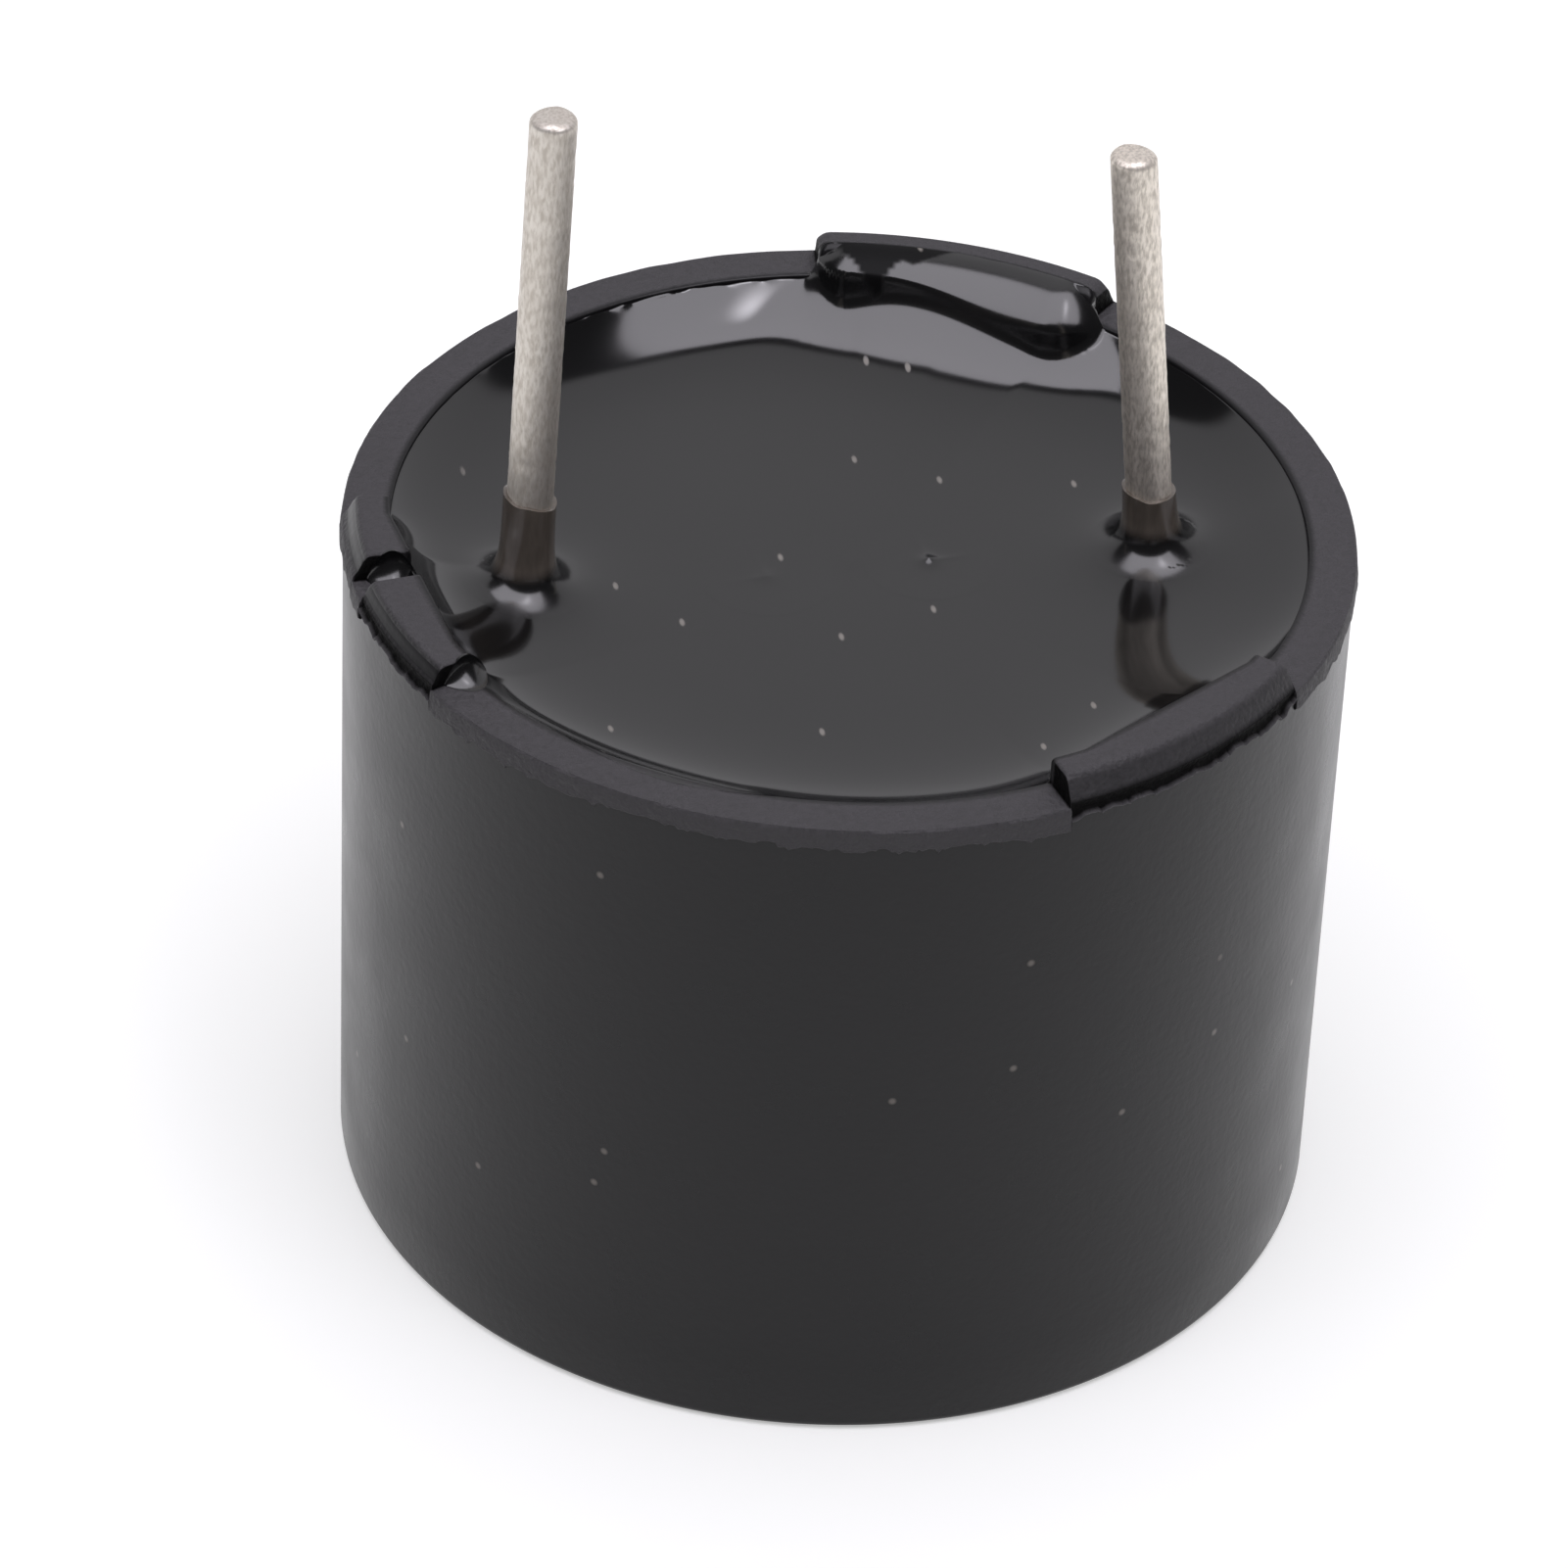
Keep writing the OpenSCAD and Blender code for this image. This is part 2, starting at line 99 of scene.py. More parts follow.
camera = bpy.data.objects.new("camera", bpy.data.cameras.new("camera"))
scene.collection.objects.link(camera)
scene.camera = camera
camera.data.lens = sensor_mm * focal_px / frame_px
camera.data.sensor_width = sensor_mm
camera.data.clip_start, camera.data.clip_end = 0.002, 20
camera.matrix_world = (
    Matrix.Translation((0, 0, aim_z * MM)) @ turned(view_azimuth, "Z") @ turned(90 - view_elevation, "X")
    @ Matrix.Translation((0, 0, view_distance * MM)) @ turned(view_roll, "Z")
    @ turned(off_centre(centre_px[0]), "Y") @ turned(off_centre(centre_px[1]), "X"))
print("lens in mm:", round(camera.data.lens, 1), "camera at", [round(x / MM, 1) for x in camera.location])

# %% [markdown]
# ## Surfaces from arrays
# Every new piece below is a grid of points worked out with numpy: rows run along a profile, columns run
# round an axis. The helpers turn such grids into one closed mesh. Points are kept in millimetres until
# the mesh is made, because the part's own sizes are millimetres.

# %% Helpers for profiles and noise


def smooth_step(t):
    """0 below 0, 1 above 1, and 3 t^2 - 2 t^3 between."""
    t = np.clip(t, 0, 1)
    return t * t * (3 - 2 * t)


def turn_away(turn, centre):
    """Angle in degrees between two directions round the axis, from 0 to 180."""
    return np.abs(np.mod(turn - centre + 180, 360) - 180)


def ring_noise(turn, cells, seed):
    """Noise round a ring from -1 to 1: random values at even angles, joined by smooth steps."""
    values = np.random.default_rng(seed).uniform(-1, 1, cells)
    place = np.mod(turn, 360) / 360 * cells
    left = np.floor(place).astype(int) % cells
    share = smooth_step(place - np.floor(place))
    return values[left] * (1 - share) + values[(left + 1) % cells] * share


def arc(centre_r, centre_z, radius, start, end, steps):
    """Rows (r, z) on a circle from one angle to another, in degrees from the outward direction."""
    angles = np.radians(np.linspace(start, end, steps))
    return [(centre_r + radius * math.cos(angle), centre_z + radius * math.sin(angle)) for angle in angles]


def straight(start, end, steps):
    """Rows (r, z) at even steps between two points, without the two points themselves."""
    shares = np.linspace(0, 1, steps + 2)[1:-1]
    return [(start[0] + (end[0] - start[0]) * t, start[1] + (end[1] - start[1]) * t) for t in shares]


def spun(rows, turn):
    """Grid of points: each row's radius and height, which may change with the angle, carried round Z."""
    r = np.stack([np.broadcast_to(row[0], turn.shape) for row in rows])
    z = np.stack([np.broadcast_to(row[1], turn.shape) for row in rows])
    angle = np.radians(turn)
    return np.stack([r * np.cos(angle), r * np.sin(angle), z], axis=-1)


# %% Helpers for closed meshes


def grid_faces(rows, columns, loop_rows):
    """Quads of a grid whose columns close into a ring, and whose rows may close too."""
    strips = rows if loop_rows else rows - 1
    low, left = np.meshgrid(np.arange(strips), np.arange(columns), indexing="ij")
    high, right = (low + 1) % rows, (left + 1) % columns
    corners = [low * columns + left, low * columns + right, high * columns + right, high * columns + left]
    return np.stack(corners, axis=-1).reshape(-1, 4)


def shell(points, quads, triangles=np.empty((0, 3), int)):
    """One closed surface, with its faces turned over if the volume that they enclose comes out negative."""
    corners = points[np.concatenate([quads[:, [0, 1, 2]], quads[:, [0, 2, 3]], triangles])]
    volume = np.einsum("ij,ij->", corners[:, 0], np.cross(corners[:, 1], corners[:, 2]))
    return (points, quads, triangles) if volume > 0 else (points, quads[:, ::-1], triangles[:, ::-1])


def closed_tube(grid):
    """Shell of a grid whose first and last rows are closed, each onto its own middle."""
    rows, columns = grid.shape[:2]
    points = np.concatenate([grid.reshape(-1, 3), grid[0].mean(0)[None], grid[-1].mean(0)[None]])
    here, after = np.arange(columns), (np.arange(columns) + 1) % columns
    tip, last = rows * columns, (rows - 1) * columns
    caps = [np.stack([after, here, np.full(columns, tip)], axis=-1),
            np.stack([last + here, last + after, np.full(columns, tip + 1)], axis=-1)]
    return shell(points, grid_faces(rows, columns, False), np.concatenate(caps))


def closed_ring(grid):
    """Shell of a grid whose rows close into a ring too, as on a doughnut."""
    return shell(grid.reshape(-1, 3), grid_faces(grid.shape[0], grid.shape[1], True))


def make_piece(name, shells, sharp=40, marks=None):
    """One mesh object from closed shells in mm, with shares per point stored as attributes."""
    starts = np.cumsum([0] + [len(points) for points, _, _ in shells])
    points = np.concatenate([points for points, _, _ in shells]) * MM
    quads = np.concatenate([quads + start for start, (_, quads, _) in zip(starts, shells)])
    triangles = np.concatenate([threes + start for start, (_, _, threes) in zip(starts, shells)])
    mesh = bpy.data.meshes.new(name)
    mesh.from_pydata(points.tolist(), [], quads.tolist() + triangles.tolist())
    for mark, values in (marks or {}).items():
        mesh.attributes.new(mark, "FLOAT", "POINT").data.foreach_set("value", values.astype(np.float32))
    mesh.shade_smooth()
    mesh.set_sharp_from_angle(angle=math.radians(sharp))
    piece = bpy.data.objects.new(name, mesh)
    scene.collection.objects.link(piece)
    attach(piece, "root")
    triangle_count = 2 * len(quads) + len(triangles)
    print(name, "shells:", len(shells), "points:", len(points), "triangles:", triangle_count)
    return piece


# %% [markdown]
# ## The rim and its lugs
# Three low lugs stand on the rim and keep the resin off the circuit board that the part is soldered to.
# One of them is split by a notch, so there are four pieces of lug. They aren't separate objects: the rim
# is simply higher there. So one function gives the height of the rim at any angle, and the cup and the
# resin both use it. Extra columns stand close together at the ends of the lugs, so that those ends come
# out upright and their corners round.

# %% Rim sizes
case_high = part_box("case")[1]
case_r = case_high.x / MM
seat_z = case_high.z / MM
lug_h = 0.35
case_h = seat_z - lug_h
rim_wall = 0.6
rim_r = case_r - rim_wall
mm_per_degree = math.radians(1) * (case_r - rim_wall / 2)
# Each piece of lug: the angles at which it starts and ends, its height, and the radius of its upper corners
back_lug = (47.5, 84.5, 0.40, 0.16)
split_back = (172, 184.5, 0.35, 0.05)
split_front = (188.5, 207, 0.28, 0.05)
front_lug = (285, 319.5, 0.35, 0.05)
lug_parts = [back_lug, split_back, split_front, front_lug]
# The flat inner faces of the three lugs: the direction of each, and their distance from the axis
flat_turns, flat_reach, flat_half = (66, 190, 303.5), 5.24, 30
print("rim at", round(case_h, 3), "lugs to", round(seat_z, 3))

# %% Height and inner wall of the rim


def lug_depth(turn, part):
    """Distance in mm from the nearer end of a piece of lug: positive on it, negative beside it."""
    start, end = part[:2]
    return ((end - start) / 2 - turn_away(turn, (start + end) / 2)) * mm_per_degree


def lug_height(turn):
    """Height of the rim over its low level: 0 beside the lugs, with a quarter circle at each lug's ends."""
    rises = []
    for part in lug_parts:
        depth, high, corner = lug_depth(turn, part), part[2], part[3]
        inside = np.clip(depth, 0, corner)
        round_end = np.sqrt(corner ** 2 - (corner - inside) ** 2)
        rises.append(np.where(depth > 0, high - corner + round_end, 0))
    return np.max(rises, axis=0)


def on_lugs(turn):
    """1 on the lugs and 0 beside them."""
    return np.where(lug_height(turn) > 0, 1.0, 0.0)


def wall_r(turn):
    """Radius of the inner wall above the board: the bore, and a flat face on each lug."""
    away = np.min([turn_away(turn, centre) for centre in flat_turns], axis=0)
    return np.minimum(rim_r, flat_reach / np.cos(np.radians(np.minimum(away, flat_half))))


# %% Columns round the rim
# Distances in mm from a lug's end at which columns stand: beside the lug, on it, and where even ones go on
close_beside = [-0.32, -0.25, -0.19, -0.15, -0.12, -0.09, -0.06, -0.03, -0.002]
close_on = [0.002, 0.008, 0.018, 0.032, 0.05, 0.075, 0.11, 0.16, 0.2, 0.25, 0.32]
close_reach = 0.33


def rim_turns(even):
    """Angles of the columns: even ones, and a close set at each end of each piece of lug."""
    close = np.array(close_beside + close_on) / mm_per_degree
    ends = [(end, side) for part in lug_parts for end, side in ((part[0], 1), (part[1], -1))]
    fine = np.concatenate([end + side * close for end, side in ends])
    coarse = np.linspace(0, 360, even, endpoint=False)
    gap = np.min([np.abs(coarse - end) for end, _ in ends], axis=0) * mm_per_degree
    return np.sort(np.concatenate([coarse[gap > close_reach], fine]))


case_turns = rim_turns(1000)
print("columns of the cup:", len(case_turns))

# %% [markdown]
# ## The cup
# The cup is one profile carried round the axis. It starts at the sound hole, runs out over the sound
# face, up the wall, over the rim and down inside past the two ledges. Where the rim was trimmed, a rough
# lip is pushed out over the wall and ends in a ragged edge, and under most of the lugs that edge has a
# groove over it. A bevel couldn't give that, but rows of points whose height follows noise can.

# %% Cup sizes
hole_r = 1.0
hole_edge = 0.1
edge_r = 0.1
face_wall = 0.9
chamber_r = 4.25
bore_r = 4.95
plate_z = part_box("piezo_plate")[0].z / MM
board_low, board_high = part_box("circuit_board")
board_z = board_low.z / MM
resin_z = 8.2
# Heights under the resin at which the flat faces of the lugs end, and at which the round bore starts
flat_foot_z, bore_top_z = resin_z - 0.3, resin_z - 0.6
# Radius at which the film of resin on top of the back lug ends
film_r = 5.507

# %% The lip under the rim
# The lip: its reach beyond the wall, the depth of its edge under the rim, how much higher that edge is
# under a lug, and how ragged it is
lip_out, lip_hang, lip_lift, lip_rag = 0.045, 0.26, 0.13, 0.08
# Depth of the groove over the lip, and unevenness of the rim beside the lugs
groove_in, wave_high = 0.05, 0.012
# Upright foot of a lug's outer face, and how far under the rim the plain wall ends
lug_foot, plain_stop = 0.05, 0.6
side_r = case_r - lip_out


def grooved(turn):
    """1 where a groove runs over the lip: on every piece of lug but the back one of the split lug."""
    return on_lugs(turn) * (lug_depth(turn, split_back) < 0)


def rim_wave(turn):
    """Small unevenness of the rim beside the lugs."""
    return wave_high * ring_noise(turn, 120, 4) * (1 - on_lugs(turn))


def plain_rows():
    """Rows of the plain part: the edge of the sound hole, the sound face, its outer edge and the wall."""
    rows = arc(hole_r + hole_edge, hole_edge, hole_edge, 180, 270, 5)
    rows += straight((hole_r + hole_edge, 0), (side_r - edge_r, 0), 5)
    rows += arc(side_r - edge_r, edge_r, edge_r, 270, 360, 6)
    return rows + straight((side_r, edge_r), (side_r, case_h - plain_stop), 9)


def lip_rows(turn):
    """Rows of the lip: out from the wall at a ragged line, then up past the groove over it to the rim."""
    burr = np.abs(ring_noise(turn, 420, 5)) ** 3
    rag = 0.4 * ring_noise(turn, 300, 1) + 0.3 * ring_noise(turn, 90, 2) + 0.7 * burr
    lip_z = case_h - lip_hang + lip_lift * on_lugs(turn) - lip_rag * rag
    out = lip_out * (0.8 + 0.2 * ring_noise(turn, 150, 3))
    groove = groove_in * grooved(turn)
    return [
        (side_r, lip_z - 0.04),
        (side_r, lip_z - 0.015),
        (side_r + 0.6 * out, lip_z),
        (side_r + out, lip_z + 0.02),
        (side_r + 0.9 * out - groove, lip_z + 0.05),
        (side_r + 0.8 * out - 1.3 * groove, (lip_z + case_h) / 2 + 0.03),
        (side_r + 0.5 * out - groove, case_h - 0.02),
        (side_r + rim_wave(turn) - 0.3 * groove, case_h + 0.005 + lug_foot * on_lugs(turn)),
    ]


# %% The top of the rim and the inside
# How far a lug's outer face leans in, the inner edge's radius beside the lugs and on them, and how far
# the back lug's round inner edge goes on past the film
lug_lean = 0.15
rim_edge, inner_edge = 0.03, 0.05
film_margin = 0.02


def lug_share(turn):
    """Height of the rim as a share of a lug's, from 0 to 1."""
    return np.clip(lug_height(turn) / lug_h, 0, 1)


def inner_round(turn):
    """Radius of the rim's inner edge: small, larger on a lug, and on the back lug as wide as its film."""
    edge = rim_edge + (inner_edge - rim_edge) * lug_share(turn)
    return np.where(lug_depth(turn, back_lug) > 0, film_r + film_margin - wall_r(turn), edge)


def lean_rows(turn):
    """Rows up the outer face of the rim, at quarters of its height. On the lugs it leans in."""
    foot, rise, lean = lug_foot * on_lugs(turn), lug_height(turn), lug_lean * lug_share(turn)
    return [(side_r - 0.02 - lean * t, case_h + foot + (rise - foot) * t) for t in (0.25, 0.5, 0.75)]


def top_rows(turn):
    """Rows of the top of the rim: a small outer edge, then flat up to the round inner edge."""
    share, high = lug_share(turn), case_h + lug_height(turn)
    edge = (side_r - 0.06 - lug_lean * share, high + 0.3 * rim_wave(turn))
    rows = [(side_r - 0.03 - lug_lean * share, high - 0.015 * share), edge]
    return rows + straight(edge, (wall_r(turn) + inner_round(turn), high), 6)


def inside_rows(turn):
    """Rows down the inside: the round inner edge, the wall, the two ledges and the sound chamber."""
    wall, edge, high = wall_r(turn), inner_round(turn), case_h + lug_height(turn)
    rows = arc(wall + edge, high - edge, edge, 90, 180, 6)
    rows += straight((wall, high - edge), (wall, flat_foot_z), 6)
    rows += [(wall, flat_foot_z), (rim_r, bore_top_z), (rim_r, board_z), (bore_r, board_z), (bore_r, plate_z)]
    return rows + [(chamber_r, plate_z), (chamber_r, face_wall), (hole_r, face_wall), (hole_r, face_wall / 2)]


# %% Cup surface
plain, lip = plain_rows(), lip_rows(case_turns)
lean, top, inside = lean_rows(case_turns), top_rows(case_turns), inside_rows(case_turns)
cup_rows = plain + lip + lean + top + inside
lip_row = len(plain)
lean_row = lip_row + len(lip)
top_row = lean_row + len(lean)
inside_row = top_row + len(top)

# Rough where it is trimmed: from the lip's lower edge to the inner edge, but less on the lugs' leaning faces
on_split = np.maximum(lug_depth(case_turns, split_back), lug_depth(case_turns, split_front)) > 0
lean_gloss = np.where(on_split, 1.0, 0.45) * on_lugs(case_turns)
cup_rough = np.zeros((len(cup_rows), len(case_turns)))
cup_rough[lip_row + 2:inside_row] = 1
cup_rough[lean_row:top_row] = 1 - lean_gloss

# Painted shade: near black in the groove over the lip and on the upright ends of the lugs, where shade falls
end_w, end_blend = 0.006, 0.003
end_gap = np.min([np.abs(lug_depth(case_turns, part)) for part in lug_parts], axis=0)
cup_shade = np.zeros_like(cup_rough)
cup_shade[lip_row + 4:lean_row] = grooved(case_turns)
cup_shade[lean_row:inside_row] = smooth_step((end_w - end_gap) / end_blend)

# The share named groove is a painted shade, stored on the cup's points
cup = make_piece("cup", [closed_ring(spun(cup_rows, case_turns))], sharp=35,
                 marks={"trimmed": cup_rough.ravel(), "groove": cup_shade.ravel()})
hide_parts("case")

# %% [markdown]
# ## The resin
# Liquid resin wets what it touches before it sets. It curves up to the wall, climbs the lugs, and is
# drawn up each lead. Each of these is a term that is added to the level surface: an exponential at the
# wall, one more on a lug that spreads sideways with the distance from it, and a logarithm round a lead.
# A sculpted surface would show every bump in its mirror finish, so the smooth formulas are the safer way.

# %% The dish
rim_dry = 0.05
dish_fall = 0.567
# Where the resin wets the wall up to the rim, and where it stays lower: angle, half width, extra drop
wet_turn, wet_half = 238, 24
low_turn, low_half, low_drop = 337, 26, 0.2
# Ragged edge at the back: angle, half width, height, and how far it reaches from the wall
rag_turn, rag_half, rag_high, rag_reach = 95, 85, 0.015, 0.02


def bell(turn, centre, half):
    """1 at an angle, falling smoothly to 0 at a given number of degrees from it."""
    return smooth_step(1 - turn_away(turn, centre) / half)


def dish(r, turn):
    """Level resin that rises to the wall as an exponential of the distance from it, up to a ragged line."""
    reach = np.maximum(wall_r(turn) - r, 0)
    drop = rim_dry * (1 - bell(turn, wet_turn, wet_half)) + low_drop * bell(turn, low_turn, low_half)
    ragged = rag_high * ring_noise(turn, 220, 13) * bell(turn, rag_turn, rag_half)
    rise = (case_h - resin_z - drop) * np.exp(-reach / dish_fall)
    return resin_z + rise + ragged * np.exp(-reach / rag_reach)


# %% Climb at the lugs
blur_least, blur_slope = 0.1, 1.1
# Angles between which the resin climbs, and how far: over both pieces of the split lug, and at the front lug
climbs = [(split_back[0], split_front[1], 0.12), (front_lug[0], front_lug[1], 0.13)]


def on_part(turn, part, reach):
    """1 in front of a piece of lug and 0 beside it, with ends that blur with the distance from the wall."""
    return (1 + np.tanh(lug_depth(turn, part) / (blur_least + blur_slope * reach))) / 2


def lug_climb(r, turn):
    """Extra height at the split lug and the front lug: an exponential of the distance from the wall."""
    reach = np.maximum(wall_r(turn) - r, 0)
    highs = [climb[2] * on_part(turn, climb, reach) for climb in climbs]
    return np.max(highs, axis=0) * np.exp(-reach / dish_fall)


# %% [markdown]
# ### The film on the back lug
# On the back lug the resin ran over the top and set as a film. Its section is a round cap that starts at
# the film's edge and ends in a steep drop. The cap mirrors the lamp as a pale lens, and the drop is the
# black band under it. In front of the drop the surface rises slowly towards the lug. Cap and drop are
# two curves, and a smooth minimum joins them without a crease.

# %% The film's surface
# How far the film keeps from the lug's ends, how quickly it falls there, and where distances stop counting
film_end, film_round, film_far = 0.45, 1.1, 1.5
# The slow rise: its height at the wall, and the distance over which it falls
slow_high, slow_fall = 0.4, 1.1
# The cap: its radius, its lift over the lug's top, and the share of the radius up to which it is followed
cap_r, cap_lift, cap_most = 0.85, 0.004, 0.98
# The drop: its height and fall, how far from the film's edge it lies, and how much further below an angle
drop_high, drop_fall = 0.05, 0.035
drop_reach, drop_more, drop_turn, drop_blend = 0.55, 0.2, 76, 20
least_room = 1e-5


def film_away(r, turn):
    """Distance in mm from the edge of the film on the back lug, which keeps clear of the lug's ends."""
    beside = film_round * np.maximum(film_end - lug_depth(turn, back_lug), 0)
    return np.minimum(np.hypot(np.maximum(film_r - r, 0), beside), film_far)


def film_climb(r, turn, under):
    """Extra height at the back lug: a slow rise, and on it the smooth minimum of a cap and a steep drop."""
    away = film_away(r, turn)
    reach = np.maximum(wall_r(turn) - r, 0)
    slow = slow_high * on_part(turn, back_lug, reach) * np.exp(-reach / slow_fall)
    cap_z = case_h + back_lug[2] + cap_lift - cap_r
    cap = cap_z + np.sqrt(cap_r ** 2 - np.minimum(away, cap_most * cap_r) ** 2)
    drop_at = drop_reach + drop_more * smooth_step((drop_turn - turn) / drop_blend)
    drop = drop_high * np.exp((drop_at - away) / drop_fall)
    room = np.maximum(cap - under - slow, least_room)
    return slow + (room ** -4.0 + drop ** -4.0) ** -0.25


def wet_surface(r, turn):
    """Height of the resin without the leads: the dish, and what climbs the lugs."""
    height = dish(r, turn) + lug_climb(r, turn)
    return height + film_climb(r, turn, height)


# %% Resin round the leads
lead_xs = (-3.85, 3.65)
lead_r = 0.275
# The coat on a lead: its thickness, and how wide and how high its foot spreads
coat_t, coat_spread, coat_fall = 0.04, 0.42, 0.17
# Distances from a lead's axis at which the big grid starts to sink, and at which the lead's own rings start
trumpet_in, trumpet_out = 0.55, 0.75
sink_slope = 0.5


def lead_climb(distance):
    """Height drawn up a lead at a distance from its axis: -k ln(1 - e^-x), which fades out smoothly."""
    x = np.maximum(distance - lead_r - coat_t, 1e-4) / coat_spread
    return -coat_fall * np.log(1 - np.exp(-x))


def resin_surface(r, turn):
    """Height of the resin inside the wall. Close to a lead it sinks, under the rings that take over there."""
    x, y = r * np.cos(np.radians(turn)), r * np.sin(np.radians(turn))
    height = wet_surface(r, turn)
    for lead_x in lead_xs:
        distance = np.hypot(x - lead_x, y)
        sink = sink_slope * np.maximum(trumpet_in - distance, 0)
        height = height + lead_climb(np.maximum(distance, trumpet_in)) - sink
    return height


# %% Edge of the resin
# The film: how ragged its edge is, and the length over which it fades beyond the lug's ends
film_rag, film_fade = 0.01, 0.22
# The spill over the rim at the front: half of its angle, and its width
spill_half, spill_w = 16, 0.13
# The least width of the edge, and the width from which it counts as lying on the rim
least_w, film_least = 0.004, 0.01
# How far the edge stands off the rim, how thick it is there, and how far under it the wall row lies
film_lift, film_t, edge_t = 0.002, 0.006, 0.02


def film_width(turn):
    """How far the resin ran over the back lug, with a ragged edge, and over the rim at the front."""
    line = film_r + film_rag * ring_noise(turn, 150, 11)
    film = smooth_step(1 + lug_depth(turn, back_lug) / film_fade) * (line - wall_r(turn))
    return film + spill_w * bell(turn, wet_turn, spill_half) + least_w


resin_turns = rim_turns(520)
film_shares = np.linspace(1, 0, 11)[:, None]
film_ends = film_width(resin_turns)
wall_line = wall_r(resin_turns)
wall_top = resin_surface(wall_line, resin_turns)
film_top = np.where(film_ends > film_least, case_h + lug_height(resin_turns) + film_lift, wall_top)
film_lines = wall_line + film_ends * film_shares
film_z = resin_surface(film_lines, resin_turns)
film_z = film_z + (film_top - film_z) * film_shares ** 3
print("columns of the resin:", len(resin_turns), "widest film in mm:", round(film_ends.max(), 2))

# %% Resin body
board_top, board_r = board_high.z / MM, board_high.x / MM
middle_r, flat_fade_r = 0.05, 4.0
# Radii at which the rows get wider apart, and the number of rows between them
ring_edges, ring_rows = (rim_r, 4.65, 2.85, middle_r), (46, 36, 16)
inside_r = [np.linspace(*ring)[1:] for ring in zip(ring_edges, ring_edges[1:], ring_rows)]
inside_r = np.concatenate(inside_r)[:, None]
flat_pull = smooth_step((inside_r - flat_fade_r) / (rim_r - flat_fade_r))
inside_r = inside_r - (rim_r - wall_line) * flat_pull
top_r = np.concatenate([film_lines, inside_r])
top_z = np.concatenate([film_z, resin_surface(inside_r, resin_turns)])
under_rows = [
    (middle_r, board_top), (board_r / 2, board_top), (board_r, board_top), (board_r, board_z),
    (rim_r, board_z), (rim_r, bore_top_z), (wall_line, flat_foot_z), (wall_line, wall_top - edge_t),
    (wall_line + film_ends, film_z[0] - film_t),
]
resin_body = closed_tube(spun(under_rows + list(zip(top_r, top_z)), resin_turns))
print("rows of the resin:", len(under_rows) + len(top_r))

# %% [markdown]
# ### Resin on leads, ends and corners
# Next to a lead the resin is too steep for the big grid, so a grid of rings round the lead takes over.
# The resin also ran into the notch and against the front end of the split lug, where it stands as a
# hollow corner. The corner of a part under the resin pushes its skin up a little. Each of these is one
# more closed shell that sinks into the resin at its edge.

# %% Resin drawn up the leads
lead_leans = (2.0, -5.8)
bend_lift = 0.1
coat_heights = (1.3, 0.9)
coat_tilts = (-0.05, -0.03)
coat_seeds = (21, 22)
coat_rag = 0.02
# The coat's last ring closes onto the wire, and its first one is sunk into the resin
close_up, close_in = 0.012, 0.03
root_low, root_in = 0.2, 0.3
coat_lift = 0.0008


def coat_grid(lead_x, lean, height, tilt, seed):
    """Rings round a lead, from a wide foot up to the edge of the coat, following the lean of the lead."""
    turn = np.linspace(0, 360, 112, endpoint=False)
    edge = height + tilt * np.cos(np.radians(turn)) + coat_rag * ring_noise(turn, 11, seed)
    low = lead_climb(np.array(trumpet_out))
    rise = low + (edge[None] - low) * (np.linspace(0, 1, 44)[:, None] ** 1.8)
    spread = lead_r + coat_t - coat_spread * np.log(1 - np.exp(-rise / coat_fall))
    rise = np.concatenate([rise[:1] - root_low, rise, rise[-1:] + close_up])
    spread = np.concatenate([spread[:1] - root_in, spread, np.full((1, len(turn)), lead_r - close_in)])
    shift = math.tan(math.radians(lean)) * np.maximum(rise - bend_lift, 0)
    x = lead_x + spread * np.cos(np.radians(turn)) + shift
    y = spread * np.sin(np.radians(turn))
    ground = wet_surface(np.hypot(x, y), np.degrees(np.arctan2(y, x)))
    return np.stack([x, y, ground + rise + coat_lift], axis=-1)


coats = zip(lead_xs, lead_leans, coat_heights, coat_tilts, coat_seeds)
coat_shells = [closed_tube(coat_grid(*coat)) for coat in coats]

# %% Resin in the corners of the split lug
# Each corner: the angle of the lug's end, the corner's height and length, and its inner and outer radius
corners = [(split_back[1], 0.36, 0.34, 5.2, 5.8), (split_front[1], 0.3, 0.3, 5.2, 5.78)]
corner_rows, corner_columns = 17, 15
corner_back, corner_low, corner_lift = -0.03, -0.09, 0.004
# The corner is this share of its full size at its inner and outer end
corner_ends = 0.03


def corner_grid(turn, high, length, r_in, r_out):
    """A hollow quarter of an ellipse between the end of a lug and the rim, carried from the bore outwards."""
    share = np.linspace(0, 1, corner_columns)[None]
    r = np.linspace(r_in, r_out, corner_rows)[:, None]
    size = 1 + corner_ends - np.linspace(-1, 1, corner_rows)[:, None] ** 2
    along = length * size * share ** 2
    up = high * size * (1 - np.sqrt(1 - (1 - share ** 2) ** 2))
    along = np.concatenate([along, np.full((corner_rows, 2), corner_back)], axis=1)
    up = np.concatenate([up, np.full((corner_rows, 1), corner_low), high * size], axis=1)
    angle = np.radians(turn + along / (math.radians(1) * r))
    return np.stack([r * np.cos(angle), r * np.sin(angle), case_h + corner_lift + up], axis=-1)


corner_shells = [closed_tube(corner_grid(*corner)) for corner in corners]

# %% Resin skin over the corners of two parts
# Each bump: its place, height and width, the height of its ridges, and their directions
bumps = [((0.99, 0.1), 0.05, 0.09, 0.006, (8, 98)), ((-0.97, 0.0), 0.012, 0.1, 0.003, (98, 188))]
bump_r, bump_tip, bump_fade = 0.8, 0.004, 0.3
ridge_w, ridge_start, ridge_l = 0.05, 0.1, 0.7
bump_low, bump_lift = -0.1, 0.0006


